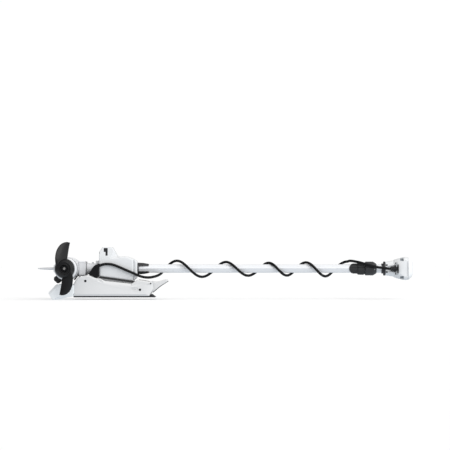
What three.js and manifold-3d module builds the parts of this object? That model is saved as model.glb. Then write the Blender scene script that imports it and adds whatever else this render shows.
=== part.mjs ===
// Bow-mount electric trolling motor, stowed flat on its deck mount.
// Millimetres, +Z up, +X from the bow end towards the control head, -Y is the propeller side.
// The origin is the middle of the deck gasket's underside, on the deck.
import * as THREE from "three";
import { mergeVertices } from "three/addons/utils/BufferGeometryUtils.js";
import Module from "manifold-3d";

const wasm = await Module();
wasm.setup();

// ---- Driving dimensions ----
const GAP = 0.3; // clearance between pieces that touch
const SHAFT_Z = 142.4; // height of the shaft's axis over the deck
const SHAFT_R = 21;
const SHAFT_WALL = 3;
const SHAFT_LEFT = -120;
const SHAFT_RIGHT = 1372;

const BASE_HALF_LENGTH = 185; // gasket, from the origin
const BASE_HALF_WIDTH = 80;
const GASKET_T = 6;
const CHANNEL_IN = 62; // inner face of the channel's walls, from the middle plane
const CHANNEL_OUT = 70;
const COVER_IN = 71;
const COVER_OUT = 92;
const PIVOT = { x: -280, z: 25 }; // tilt axis, along Y
const PIVOT_R = 7;
const ARM_IN = 46;
const ARM_OUT = 56;

const MOTOR_X = -218.4; // motor axis, along Y at the shaft's height
const MOTOR_R = 57;
const MOTOR_WALL = 5;
const MOTOR_HALF_LENGTH = 112;
const BELL_END = -150; // outer face of the propeller-side end bell
const NOSE_END = 205; // tip of the motor's nose cone
const PROP_R = 132;
const HUB_R = 48;
const HUB_FRONT = -215;
const HUB_BACK = -158;
const PROP_SHAFT_R = 8;

const HOUSING_HALF = 69; // half width of the steering housing
const HOUSING_WALL = 7;
const SLEEVE_R = 25.5;
const STEER_BORE = 30;
const GEAR_MODULE = 1.8;
const GEAR_TEETH = 40;
const PINION_TEETH = 12;
const GEAR_X0 = 5;
const GEAR_X1 = 17;
const STEERING_CENTRES = (GEAR_MODULE * (GEAR_TEETH + PINION_TEETH)) / 2;

const PEDAL_PIVOT = { x: 199.4, z: 69.7 };
const PEDAL_PIN_R = 4;
const PEDAL_HALF = 55;
const LATCH_PIVOT = { x: 150, z: 48 };
const LATCH_PIN_R = 4;

const COLLAR_SPLIT = 1264; // joint between the depth collar's two pieces
const CABLE_R = 6.5;
// Where each turn of cable passes behind the shaft, with its radius there.
const COIL_TURNS = [
  [262.5, 43],
  [515, 37],
  [737.5, 31],
  [920, 32],
  [1115, 37],
  [1178, 38],
];
const COIL_SAG = 3; // the turns hang a little below the shaft's axis
const LEAD_POINTS = [
  [-56.7, -79, 158.6],
  [-51, -79, 159],
  [-39, -79, 162.6],
  [-24, -79, 165],
  [0, -79, 163.5],
  [25, -79, 156.5],
  [50, -79, 146],
  [75, -79, 135],
  [100, -79, 124.5],
  [124, -78, 113.5],
  [148, -74, 104],
  [170, -66, 99],
  [192, -52, 98.5],
  [212, -34, 102],
  [229, -8, 107.5],
  [243, 17, 116],
  [254, 35, 128],
];
const HEAD_LEAD_POINTS = [
  [1186, -4, 180.5],
  [1200, -12, 180],
  [1214, -21, 177.5],
  [1237, -32, 172.5],
  [1261, -40, 165.5],
  [1286, -44.5, 158.5],
  [1311, -47, 152],
  [1336, -48.5, 147],
  [1361, -50, 143.5],
  [1387, -51, 141],
];
const GLAND = { y: -51, z: 141 };

// ---- Materials ----
const finish = (color, roughness, metalness = 0) =>
  new THREE.MeshStandardMaterial({ color, roughness, metalness });
const WHITE = finish(0xe9eaeb, 0.35);
const WHITE_CAST = finish(0xdfe1e3, 0.45);
const COOL_WHITE = finish(0xc9d3dc, 0.5);
const BLACK = finish(0x151618, 0.5);
const RUBBER = finish(0x1b1c1d, 0.85);
const COMPOSITE = finish(0x202124, 0.4);
const STEEL = finish(0xb9bcc0, 0.3, 1);
const BRONZE = finish(0xb08a52, 0.4, 1);
const ALUMINIUM = finish(0xc5c8cb, 0.4, 1);
const CIRCUIT = finish(0x1f5a38, 0.6);

// ---- Solids ----
// A closed three.js geometry as a solid with its faces pointing out.
function solid(geometry) {
  const bare = new THREE.BufferGeometry();
  bare.setAttribute("position", geometry.getAttribute("position"));
  bare.setIndex(geometry.index);
  const merged = mergeVertices(bare, 1e-4);
  const p = merged.attributes.position.array;
  const corners = [];
  let volume = 0;
  for (let i = 0; i < merged.index.count; i += 3) {
    const [a, b, c] = [0, 1, 2].map((k) => merged.index.array[i + k]);
    if (a === b || b === c || a === c) continue;
    corners.push(a, b, c);
    const [A, B, C] = [a, b, c].map((k) => new THREE.Vector3().fromArray(p, 3 * k));
    volume += A.dot(B.cross(C));
  }
  if (volume < 0) corners.reverse();
  return new wasm.Manifold(
    new wasm.Mesh({
      numProp: 3,
      vertProperties: new Float32Array(p),
      triVerts: new Uint32Array(corners),
    }),
  );
}

const join = (...parts) => parts.reduce((a, b) => a.add(b));
const cut = (body, ...tools) => tools.reduce((a, b) => a.subtract(b), body);

// A geometry whose own X, Y and Z are turned to the given world directions.
function turnedTo(geometry, x, y, z) {
  const basis = new THREE.Matrix4().makeBasis(...[x, y, z].map((v) => new THREE.Vector3(...v)));
  return geometry.applyMatrix4(basis);
}

function slab(outline, depth) {
  const shape = new THREE.Shape(outline.map(([u, v]) => new THREE.Vector2(u, v)));
  return new THREE.ExtrudeGeometry(shape, { depth, bevelEnabled: false, curveSegments: 8 });
}

// An (x, z) outline, thick along Y.
function plateY(outline, y0, y1) {
  const g = turnedTo(slab(outline, y1 - y0), [1, 0, 0], [0, 0, 1], [0, -1, 0]);
  return solid(g.translate(0, y1, 0));
}

// A (y, z) outline, thick along X.
function plateX(outline, x0, x1) {
  const g = turnedTo(slab(outline, x1 - x0), [0, 1, 0], [0, 0, 1], [1, 0, 0]);
  return solid(g.translate(x0, 0, 0));
}

function block(x0, x1, y0, y1, z0, z1) {
  const g = new THREE.BoxGeometry(x1 - x0, y1 - y0, z1 - z0);
  return solid(g.translate((x0 + x1) / 2, (y0 + y1) / 2, (z0 + z1) / 2));
}

// A profile of (distance along, radius) turned about a line along X.
function turnedX(profile, y = 0, z = SHAFT_Z, sides = 24) {
  const points = profile.map(([along, r]) => new THREE.Vector2(r, along));
  const lathe = new THREE.LatheGeometry(points, sides);
  return solid(turnedTo(lathe, [0, 1, 0], [1, 0, 0], [0, 0, -1]).translate(0, y, z));
}

// A profile of (distance along, radius) turned about a line along Y.
function turnedY(profile, x = MOTOR_X, z = SHAFT_Z, sides = 24) {
  const points = profile.map(([along, r]) => new THREE.Vector2(r, along));
  return solid(new THREE.LatheGeometry(points, sides).translate(x, 0, z));
}

const rod = (a, b, r) => [
  [a, 0],
  [a, r],
  [b, r],
  [b, 0],
];
const ring = (a, b, inner, outer) => [
  [a, inner],
  [a, outer],
  [b, outer],
  [b, inner],
  [a, inner],
];
const rodY = (x, z, y0, y1, r, sides = 16) => turnedY(rod(y0, y1, r), x, z, sides);

// A round tube along a smooth curve through the points.
function along(points, r, sides = 8, steps = 40) {
  const path = new THREE.CatmullRomCurve3(points.map((p) => new THREE.Vector3(...p)));
  const section = new THREE.Shape(
    Array.from({ length: sides }, (_, i) => {
      const angle = (2 * Math.PI * i) / sides;
      return new THREE.Vector2(r * Math.cos(angle), r * Math.sin(angle));
    }),
  );
  return solid(new THREE.ExtrudeGeometry(section, { extrudePath: path, steps }));
}

// A spur gear about a line along X; phase turns it, in radians from +Z.
function gear(teeth, x0, x1, y, z, phase, bore) {
  const pitchR = (GEAR_MODULE * teeth) / 2;
  const rootR = pitchR - 1.25 * GEAR_MODULE;
  const tipR = pitchR + 0.8 * GEAR_MODULE;
  const outline = [];
  const corners = [
    [-0.3, rootR],
    [-0.11, tipR],
    [0.11, tipR],
    [0.3, rootR],
  ];
  for (let tooth = 0; tooth < teeth; tooth++)
    for (const [share, r] of corners) {
      const angle = phase + (2 * Math.PI * (tooth + share)) / teeth;
      outline.push([y - r * Math.sin(angle), z + r * Math.cos(angle)]);
    }
  return cut(plateX(outline, x0, x1), turnedX(rod(x0 - 1, x1 + 1, bore), y, z));
}

// ---- The object ----
const root = new THREE.Group();
const groups = {};
function piece(group, name, made, material) {
  const mesh = made.getMesh();
  const geometry = new THREE.BufferGeometry();
  geometry.setAttribute("position", new THREE.BufferAttribute(mesh.vertProperties, 3));
  geometry.setIndex(new THREE.BufferAttribute(mesh.triVerts, 1));
  geometry.computeVertexNormals();
  groups[group] ??= new THREE.Group();
  const part = new THREE.Mesh(geometry, material);
  part.name = name;
  groups[group].add(part);
  root.add(groups[group]);
}

// ---- Deck mount ----
const pivotHole = rodY(PIVOT.x, PIVOT.z, -100, 100, PIVOT_R + GAP);
const pedalPinHole = rodY(PEDAL_PIVOT.x, PEDAL_PIVOT.z, -100, 100, PEDAL_PIN_R + GAP);
const latchPinHole = rodY(LATCH_PIVOT.x, LATCH_PIVOT.z, -100, 100, LATCH_PIN_R + GAP);

function deckGasket() {
  return block(
    -BASE_HALF_LENGTH, BASE_HALF_LENGTH, -BASE_HALF_WIDTH, BASE_HALF_WIDTH, 0, GASKET_T,
  );
}

// A channel with a pivot ear at the bow end and a pedal ear at the rear of each wall.
function baseFrame() {
  const floorZ = GASKET_T + GAP;
  const wall = [
    [-200, floorZ],
    [-284, 10.5],
    [-295, 19],
    [-295, 31],
    [-286, 40],
    [-200, 62],
    [180, 62],
    [191, 77],
    [199, 80],
    [207, 77],
    [209, 66],
    [189, 30],
    [189, floorZ],
  ];
  const walls = [-CHANNEL_OUT, CHANNEL_IN].map((y) =>
    plateY(wall, y, y + CHANNEL_OUT - CHANNEL_IN),
  );
  const floor = block(-200, 189, -CHANNEL_IN - 1, CHANNEL_IN + 1, floorZ, 13);
  return cut(join(floor, ...walls), pivotHole, pedalPinHole, latchPinHole);
}

const COVER_OUTLINE = [
  [-183, 66],
  [-176, 81],
  [-161, 99],
  [-112, 111],
  [-77, 96],
  [-52, 93],
  [-28, 81],
  [102, 67],
  [132, 88],
  [192, 78],
  [206, 73],
  [210, 44],
  [194, 15],
  [190, 7],
  [-183, 7],
];
const COVER_BOLTS = [
  { x: -125, z: 81 },
  { x: 145, z: 38 },
];
const BOLT_HEAD_R = 6.5;

// A side cover, hollow behind its face; side is -1 for the propeller side.
function sideCover(side) {
  const faces = [COVER_IN, COVER_OUT].map((y) => side * y).sort((a, b) => a - b);
  const inside = [COVER_IN - 1, COVER_OUT - 6].map((y) => side * y).sort((a, b) => a - b);
  const hollow = block(-172, 182, ...inside, 16, 60);
  const recesses = COVER_BOLTS.map(({ x, z }) =>
    rodY(x, z, ...[COVER_OUT - 3, COVER_OUT + 1].map((y) => side * y), BOLT_HEAD_R + 1.5, 12),
  );
  return cut(plateY(COVER_OUTLINE, ...faces), hollow, ...recesses);
}

function coverBolt({ x, z }, side) {
  const [from, to] = [COVER_OUT - 3 + GAP, COVER_OUT - 0.5].map((y) => side * y);
  const socket = rodY(x, z, side * (COVER_OUT - 1.8), side * (COVER_OUT + 1), 3, 6);
  return cut(rodY(x, z, from, to, BOLT_HEAD_R, 12), socket);
}

// The bow wedge: two cheeks joined across the front and under the pivot.
function noseRamp() {
  const cheek = [
    [-309, 23],
    [-270, 64],
    [-185.5, 64],
    [-185.5, 6],
    [-225, -2],
    [-267, -11],
    [-288, -11],
  ];
  const bridge = [
    [-309, 23],
    [-300, 32],
    [-300, 9],
    [-290, -1],
    [-268, -4],
    [-225, 3],
    [-187, 6],
    [-187, 5.2],
    [-225, -2],
    [-267, -11],
    [-288, -11],
  ];
  const inner = COVER_IN - 1 + GAP;
  return join(
    plateY(cheek, -COVER_OUT, -inner),
    plateY(cheek, inner, COVER_OUT),
    plateY(bridge, -inner - 1, inner + 1),
  );
}

function rearFoot() {
  const outline = [
    [BASE_HALF_LENGTH + GAP, 0],
    [219, 0],
    [200, 14],
    [194.5, 14],
    [190, 6],
    [BASE_HALF_LENGTH + GAP, 6],
  ];
  return plateY(outline, -BASE_HALF_WIDTH, BASE_HALF_WIDTH);
}

// A rubber pad on a cover's cheek, under the stowed motor.
function restPad(side) {
  const outline = [
    [-178, 84],
    [-163.5, 101.5],
    [-168, 104],
    [-181.5, 87.5],
  ].map(([x, z]) => [x - GAP, z + GAP]);
  const faces = [COVER_IN, COVER_OUT].map((y) => side * y).sort((a, b) => a - b);
  return cut(plateY(outline, ...faces), plateY(COVER_OUTLINE, ...faces).translate([-GAP, 0, GAP]));
}

piece("mount", "deck_gasket", deckGasket(), RUBBER);
piece("mount", "base_frame", baseFrame(), WHITE_CAST);
piece("mount", "nose_ramp", noseRamp(), COOL_WHITE);
piece("mount", "rear_foot", rearFoot(), RUBBER);
for (const [label, side] of [["near", -1], ["far", 1]]) {
  piece("mount", `side_cover_${label}`, sideCover(side), WHITE);
  piece("mount", `rest_pad_${label}`, restPad(side), RUBBER);
  piece("mount", `bow_cover_bolt_${label}`, coverBolt(COVER_BOLTS[0], side), BLACK);
  piece("mount", `rear_cover_bolt_${label}`, coverBolt(COVER_BOLTS[1], side), BLACK);
}
const PIN_HALF = CHANNEL_OUT - GAP;
piece("mount", "pivot_pin", rodY(PIVOT.x, PIVOT.z, -PIN_HALF, PIN_HALF, PIVOT_R), STEEL);
piece(
  "mount",
  "pedal_pin",
  rodY(PEDAL_PIVOT.x, PEDAL_PIVOT.z, -PIN_HALF, PIN_HALF, PEDAL_PIN_R, 12),
  STEEL,
);
piece(
  "mount",
  "latch_pin",
  rodY(LATCH_PIVOT.x, LATCH_PIVOT.z, -PIN_HALF, PIN_HALF, LATCH_PIN_R, 12),
  STEEL,
);

// ---- Foot pedal, release rod and latch ----
function footPedal() {
  const outline = [
    [196, 24],
    [205, 24],
    [242, 54.6],
    [282, 79.5],
    [274, 89],
    [242, 80.5],
    [224.6, 75],
    [205, 79],
    [194, 79],
    [190, 69.7],
    [194, 52],
  ];
  return cut(plateY(outline, -PEDAL_HALF, PEDAL_HALF), pedalPinHole);
}

// A torsion spring round the pedal's pin, between the pedal and the wall.
function pedalSpring() {
  const faces = ring(PEDAL_HALF + 1, CHANNEL_IN - 1, PEDAL_PIN_R + 1, PEDAL_PIN_R + 3);
  return turnedY(faces, PEDAL_PIVOT.x, PEDAL_PIVOT.z, 16);
}

const releaseRod = () => turnedX(rod(153, 194, 3), 0, 27, 10);

// The hook's upper tooth holds the arm's striker; the rod pushes its tail.
function latchHook() {
  const outline = [
    [140, 45],
    [146, 24],
    [149.4, 24],
    [158, 45],
    [156, 56],
    [148, 60],
    [124, 66],
    [121, 54],
    [125.5, 54],
    [127, 58],
    [141, 54],
  ];
  return cut(plateY(outline, -8, 8), latchPinHole);
}

piece("pedal", "foot_pedal", footPedal(), WHITE);
piece("mount", "pedal_spring", pedalSpring(), STEEL);
piece("rod", "release_rod", releaseRod(), STEEL);
piece("latch", "latch_hook", latchHook(), STEEL);

// ---- Tilt arm and steering housing ----
const HOUSING_LEFT = -60;
const HOUSING_RIGHT = 112.5;
const UNDERSIDE = { left: 103.2, right: 79.2 }; // the housing's sloping bottom edge
const STRIP_T = 7;

function tiltArm() {
  const stripLeft = UNDERSIDE.left - STRIP_T - GAP;
  const stripRight = UNDERSIDE.right - STRIP_T - GAP;
  const plate = [
    [-280, 10],
    [-291, 14],
    [-295, 25],
    [-291, 36],
    [-280, 40],
    [-150, 48],
    [-75, 60],
    [HOUSING_LEFT, stripLeft],
    [HOUSING_RIGHT, stripRight],
    [HOUSING_RIGHT, 50],
    [60, 20],
    [-150, 15],
  ];
  const shelf = [
    [HOUSING_LEFT, stripLeft - 8],
    [HOUSING_LEFT, stripLeft],
    [HOUSING_RIGHT, stripRight],
    [HOUSING_RIGHT, stripRight - 8],
  ];
  const plates = [-ARM_OUT, ARM_IN].map((y) => plateY(plate, y, y + ARM_OUT - ARM_IN));
  const web = block(-170, -120, -ARM_IN - 1, ARM_IN + 1, 20, 27);
  const striker = rodY(116, 60, -ARM_IN - 1, ARM_IN + 1, 4, 10);
  const ears = [-ARM_OUT, ARM_IN].map((y) => block(104, 120.5, y, y + ARM_OUT - ARM_IN, 56, 64));
  const tube = rodY(PIVOT.x, PIVOT.z, -ARM_IN - 1, ARM_IN + 1, 13, 16);
  const deck = plateY(shelf, -ARM_IN - 1, ARM_IN + 1);
  return cut(join(...plates, ...ears, web, striker, tube, deck), pivotHole);
}

const HOUSING_OUTLINE = [
  [HOUSING_LEFT, UNDERSIDE.left],
  [HOUSING_LEFT, 224],
  [-44, 249],
  [4, 249.5],
  [29, 206],
  [34, 203],
  [77, 203],
  [97, 196],
  [HOUSING_RIGHT, 190],
  [HOUSING_RIGHT, UNDERSIDE.right],
];
const HOUSING_INSIDE = [
  [HOUSING_LEFT + HOUSING_WALL, UNDERSIDE.left + 6],
  [HOUSING_LEFT + HOUSING_WALL, 221],
  [-41, 243],
  [1, 243],
  [24, 202],
  [32, 196],
  [76, 196],
  [96, 189],
  [HOUSING_RIGHT - HOUSING_WALL, 185],
  [HOUSING_RIGHT - HOUSING_WALL, UNDERSIDE.right + 7],
];
// The housing's flanks lean in above their shoulder line: (half width, height) from foot to top.
const TOWER_FLANK = { foot: [HOUSING_HALF, 193], top: [57, 250] };
const BODY_FLANK = { foot: [HOUSING_HALF, 193], top: [57, 205] };
const TOWER_RIGHT = 34;
const PANE_T = 2;
const WINDOW = [
  [-37, 244.5],
  [-17, 244.5],
  [-17, 206],
  [-28, 206],
  [-28, 225],
  [-37, 225],
];

// The space outside a leaning flank, or from depth to depth + thickness behind its face.
function flankSpace(flank, side, x0, x1, depth = 0, thickness = -60) {
  const at = ([y, z], inward) => [side * (y - inward), z];
  const { foot, top } = flank;
  return plateX(
    [at(foot, depth), at(top, depth), at(top, depth + thickness), at(foot, depth + thickness)],
    x0,
    x1,
  );
}

// Half of the steering housing; side is -1 for the propeller side.
function housingShell(side) {
  const between = (a, b) => [side * a, side * b].sort((p, q) => p - q);
  const outside = plateY(HOUSING_OUTLINE, ...between(0.15, HOUSING_HALF));
  const inside = plateY(HOUSING_INSIDE, ...between(-1, HOUSING_HALF - HOUSING_WALL - 12));
  const bore = turnedX(rod(HOUSING_LEFT - 1, HOUSING_RIGHT + 1, STEER_BORE));
  const tools = [
    inside,
    bore,
    flankSpace(TOWER_FLANK, side, HOUSING_LEFT - 1, TOWER_RIGHT),
    flankSpace(BODY_FLANK, side, TOWER_RIGHT, HOUSING_RIGHT + 1),
  ];
  if (side < 0) {
    const behindFace = flankSpace(TOWER_FLANK, side, HOUSING_LEFT, TOWER_RIGHT, -1, PANE_T + 1);
    tools.push(plateY(WINDOW, -HOUSING_HALF, -40).intersect(behindFace));
  }
  return cut(outside, ...tools);
}

// The window is its pocket's shape drawn in by the gap on every side.
function statusWindow() {
  const behindFace = flankSpace(TOWER_FLANK, -1, HOUSING_LEFT, TOWER_RIGHT, 0, PANE_T - GAP);
  const pane = plateY(WINDOW, -HOUSING_HALF, -40).intersect(behindFace);
  const shifts = [
    [GAP, 0, GAP],
    [-GAP, 0, GAP],
    [GAP, 0, -GAP],
    [-GAP, 0, -GAP],
  ];
  return shifts.map((v) => pane.translate(v)).reduce((a, b) => a.intersect(b));
}

function sealStrip() {
  const outline = [
    [HOUSING_LEFT, UNDERSIDE.left - STRIP_T],
    [HOUSING_LEFT, UNDERSIDE.left - GAP],
    [HOUSING_RIGHT - 0.5, UNDERSIDE.right - GAP],
    [HOUSING_RIGHT - 0.5, UNDERSIDE.right - STRIP_T],
  ];
  return plateY(outline, -HOUSING_HALF, HOUSING_HALF);
}

function endCap() {
  const outline = [
    [HOUSING_RIGHT + GAP, 86],
    [HOUSING_RIGHT + GAP, 189],
    [125, 180],
    [129, 172],
    [129, 110],
    [124, 94],
  ];
  const bore = turnedX(rod(HOUSING_RIGHT - 1, 131, STEER_BORE));
  return cut(plateY(outline, -HOUSING_HALF + 3, HOUSING_HALF - 3), bore);
}

// The cable's wedge-shaped strain relief on the housing's propeller-side corner.
function cableBoot() {
  const outline = [
    [-111, 114],
    [-94, 141],
    [-84, 154.5],
    [-74, 161],
    [-57.5, 165.5],
    [-57.5, 151.5],
    [-58.5, 135],
    [-60, 98],
    [-68, 97.5],
    [-80, 99.5],
    [-94, 106],
    [-104, 110],
  ];
  const clear = block(HOUSING_LEFT - GAP, 0, -HOUSING_HALF - GAP, 0, 90, 170);
  return cut(plateY(outline, -88, -46), clear);
}

// The switch that tells the drive that the motor is stowed.
const SENSOR = [
  [-79, 166],
  [-76, 182],
  [HOUSING_LEFT - GAP, 182],
  [HOUSING_LEFT - GAP, 166],
];

const bush = (x0, x1) => turnedX(ring(x0, x1, SLEEVE_R + 0.7, STEER_BORE - GAP));
const PINION_Z = SHAFT_Z + STEERING_CENTRES;

function steerMotor() {
  const can = rod(-50, GEAR_X0 - 4, 18);
  return turnedX(can, 0, PINION_Z + 1.5, 20);
}

piece("tilt_arm", "tilt_arm", tiltArm(), ALUMINIUM);
piece("tilt_arm", "housing_near", housingShell(-1), WHITE);
piece("tilt_arm", "housing_far", housingShell(1), WHITE);
piece("tilt_arm", "housing_end_cap", endCap(), WHITE);
piece("tilt_arm", "housing_seal", sealStrip(), RUBBER);
piece("tilt_arm", "status_window", statusWindow(), BLACK);
piece("tilt_arm", "cable_boot", cableBoot(), RUBBER);
piece("tilt_arm", "stow_sensor", plateY(SENSOR, -45, -28), WHITE);
piece("tilt_arm", "bow_bush", bush(HOUSING_LEFT + 0.5, HOUSING_LEFT + HOUSING_WALL), BRONZE);
piece("tilt_arm", "rear_bush", bush(HOUSING_RIGHT - HOUSING_WALL, 128), BRONZE);
piece("tilt_arm", "steer_motor", steerMotor(), STEEL);
piece("tilt_arm", "control_board", block(30, 94, -44, 44, 186, 188.5), CIRCUIT);
piece(
  "pinion",
  "steer_pinion",
  gear(PINION_TEETH, GEAR_X0, GEAR_X1, 0, PINION_Z, Math.PI, 3),
  STEEL,
);

// ---- Steering sleeve ----
function steeringSleeve() {
  const bore = SHAFT_R + 0.6;
  const tube = turnedX(ring(-121, 129, bore, SLEEVE_R));
  const flange = turnedX(ring(-121, -112, bore, 28));
  const key = block(-100, -91, -7, 7, SHAFT_Z + SLEEVE_R - 1.5, SHAFT_Z + 33);
  return join(tube, flange, key);
}

// The split clamp at the shaft's exit: a ring and two tapering jaws.
function exitClamp() {
  const bore = SHAFT_R + 0.6;
  const seat = turnedX(ring(129.3, 134.5, bore, 29));
  const taper = [
    [134, bore],
    [134, 29],
    [160, 27.5],
    [185, 23],
    [185, bore],
    [134, bore],
  ];
  const window = block(134.5, 190, -40, 40, SHAFT_Z - 14, SHAFT_Z + 13);
  return join(seat, cut(turnedX(taper), window));
}

piece("steering", "steering_sleeve", steeringSleeve(), WHITE_CAST);
piece(
  "steering",
  "steering_gear",
  gear(GEAR_TEETH, GEAR_X0, GEAR_X1, 0, SHAFT_Z, Math.PI / GEAR_TEETH, SLEEVE_R + GAP + 0.2),
  BRONZE,
);
piece("steering", "exit_clamp", exitClamp(), BLACK);

// ---- Shaft and its depth collar ----
// Its thin end is cut to a tongue on the near and far sides.
function depthCuff() {
  const bore = SHAFT_R + GAP;
  const sleeve = turnedX([
    [1184, bore],
    [1184, 25.5],
    [1224, 25.5],
    [1231, 31.5],
    [1257, 32.5],
    [COLLAR_SPLIT - 1, 30],
    [COLLAR_SPLIT - 1, bore],
    [1184, bore],
  ]);
  const tongue = [
    [1184, -6],
    [1189, -16],
    [1198, -23],
    [1206, -26],
    [1206, -40],
    [COLLAR_SPLIT, -40],
    [COLLAR_SPLIT, 40],
    [1206, 40],
    [1206, 26],
    [1198, 23],
    [1189, 16],
    [1184, 6],
  ].map(([x, z]) => [x, SHAFT_Z + z]);
  return sleeve.intersect(plateY(tongue, -50, 50));
}

function depthCollar() {
  const bore = SHAFT_R + GAP;
  return turnedX([
    [COLLAR_SPLIT, bore],
    [COLLAR_SPLIT, 32],
    [1270, 35.5],
    [1304, 35.5],
    [1317, 28],
    [1321, 23.5],
    [1322, bore],
    [COLLAR_SPLIT, bore],
  ]);
}

// The lever lies against the collar's far side and opens away from it.
function clampLever() {
  const outline = [
    [39, -17],
    [46, -17],
    [46.5, 8],
    [43, 20],
    [39, 20],
    [39.5, 0],
  ].map(([y, z]) => [y, SHAFT_Z + z]);
  return plateX(outline, 1276, 1300);
}

piece(
  "shaft",
  "shaft_tube",
  turnedX(ring(SHAFT_LEFT, SHAFT_RIGHT, SHAFT_R - SHAFT_WALL, SHAFT_R)),
  WHITE,
);
piece("shaft", "collar_cuff", depthCuff(), RUBBER);
piece("shaft", "depth_collar", depthCollar(), BLACK);
piece("lever", "collar_clamp_lever", clampLever(), BLACK);

// ---- Propulsion unit ----
function motorCasing() {
  return turnedY(ring(-MOTOR_HALF_LENGTH, MOTOR_HALF_LENGTH, MOTOR_R - MOTOR_WALL, MOTOR_R));
}

function endBell() {
  return turnedY([
    [-MOTOR_HALF_LENGTH - GAP, PROP_SHAFT_R + 1],
    [-MOTOR_HALF_LENGTH - GAP, MOTOR_R],
    [BELL_END + 12, MOTOR_R],
    [BELL_END, MOTOR_R - 7],
    [BELL_END, PROP_SHAFT_R + 1],
    [BELL_END + 8, PROP_SHAFT_R + 1],
    [-MOTOR_HALF_LENGTH - GAP, PROP_SHAFT_R + 1],
  ]);
}

// A hollow rounded cone that closes the motor's leading end.
function noseCone() {
  const back = MOTOR_HALF_LENGTH + GAP;
  const length = NOSE_END - back;
  const outer = [];
  const inner = [];
  const STEPS = 6;
  for (let i = 0; i <= STEPS; i++) {
    const angle = (Math.PI / 2) * (i / STEPS);
    outer.push([back + length * Math.sin(angle), MOTOR_R * Math.cos(angle)]);
    inner.push([back + (length - 8) * Math.sin(angle), (MOTOR_R - 8) * Math.cos(angle)]);
  }
  outer[STEPS][1] = 0;
  inner[STEPS][1] = 0;
  return turnedY([...inner.reverse(), ...outer]);
}

// The saddle that carries the motor on the shaft.
function motorNeck() {
  const barrel = turnedX([
    [-178, 0],
    [-178, 40],
    [-166, 40],
    [-162, 34],
    [-121, 34],
    [-121, 0],
  ]);
  const boxy = plateX(
    [
      [-30, 104.5],
      [30, 104.5],
      [36, 112],
      [36, 173],
      [30, 180.5],
      [-30, 180.5],
      [-36, 173],
      [-36, 112],
    ],
    -162,
    -130,
  );
  const spigot = turnedX(rod(-130, -119, SHAFT_R + GAP));
  const around = turnedY(rod(-130, 130, MOTOR_R + GAP));
  return cut(join(barrel, boxy), around, spigot);
}

function skeg() {
  const blade = [
    [-372, 0],
    [-350, -22],
    [-318, -48],
    [-280, -60],
    [-280, 60],
    [-318, 34],
    [-350, 14],
  ].map(([x, y]) => [x, y + 20]);
  const slabXY = solid(slab(blade, 15).translate(0, 0, SHAFT_Z - 7.5));
  const wedge = plateY(
    [
      [-374, SHAFT_Z],
      [-371, SHAFT_Z + 2],
      [-350, SHAFT_Z + 5.4],
      [-300, SHAFT_Z + 7.4],
      [-270, SHAFT_Z + 7.4],
      [-270, SHAFT_Z - 7.4],
      [-300, SHAFT_Z - 7.4],
      [-350, SHAFT_Z - 5.4],
      [-371, SHAFT_Z - 2],
    ],
    -120,
    120,
  );
  const flange = block(-287, -268, -44, 84, SHAFT_Z - 18, SHAFT_Z + 18);
  const around = turnedY(rod(-130, 130, MOTOR_R + GAP));
  return cut(join(slabXY.intersect(wedge), flange), around);
}

// The rubber block under the motor that meets the ramp while it is stowed.
function landingShoe() {
  const outline = [
    [-287, 98],
    [-287, 84],
    [-268, 67],
    [-250, 82],
    [-236, 96],
    [-270, 118],
  ];
  const around = turnedY(rod(-130, 130, MOTOR_R + GAP));
  return cut(plateY(outline, -32, 32), around);
}

piece("shaft", "motor_casing", motorCasing(), WHITE);
piece("shaft", "end_bell", endBell(), WHITE);
piece("shaft", "nose_cone", noseCone(), WHITE);
piece("shaft", "motor_neck", motorNeck(), WHITE_CAST);
piece("shaft", "skeg", skeg(), WHITE);
piece("shaft", "landing_shoe", landingShoe(), RUBBER);
piece("shaft", "stator", turnedY(ring(-70, 70, 40, MOTOR_R - MOTOR_WALL - 1)), STEEL);

// ---- Propeller ----
// One swept blade in (x, z) from the motor's axis, before it is twisted.
const BLADE = [
  [-40, 6],
  [-45, 18],
  [-45, 40],
  [-42, 69],
  [-34, 94],
  [-20, 115],
  [-4, 127],
  [12, 131],
  [25, 129],
  [28, 123],
  [24, 90],
  [19, 64],
  [18, 40],
  [0, 30],
];
const BLADE_ROOT_TWIST = 0.62; // slope of the blade along Y over X, at the hub
const BLADE_TIP_TWIST = 0.28;
const BLADE_T = 5;

function blade(side) {
  const middle = (HUB_FRONT + HUB_BACK) / 2;
  const flat = plateY(BLADE, -BLADE_T / 2, BLADE_T / 2).refineToLength(16);
  const twisted = flat.warp((p) => {
    const share = Math.min(1, Math.max(0, (p[2] - HUB_R) / (PROP_R - HUB_R)));
    const slope = BLADE_ROOT_TWIST + share * (BLADE_TIP_TWIST - BLADE_ROOT_TWIST);
    p[1] += slope * p[0];
  });
  const turned = side > 0 ? twisted : twisted.rotate([0, 180, 0]);
  return turned.translate([MOTOR_X, middle, SHAFT_Z]);
}

function propeller() {
  const hub = turnedY([
    [HUB_BACK, 0],
    [HUB_BACK, HUB_R],
    [-190, HUB_R],
    [-206, 42],
    [HUB_FRONT, 32],
    [HUB_FRONT, 19],
    [-196, 17],
    [-196, 0],
  ]);
  const bore = turnedY(rod(-240, -140, PROP_SHAFT_R + GAP), MOTOR_X, SHAFT_Z, 12);
  const keyway = block(MOTOR_X - 16, MOTOR_X + 16, -168.5, HUB_BACK + 1, SHAFT_Z - 3.5, SHAFT_Z + 3.5);
  return cut(join(hub, blade(1), blade(-1)), bore, keyway);
}

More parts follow.
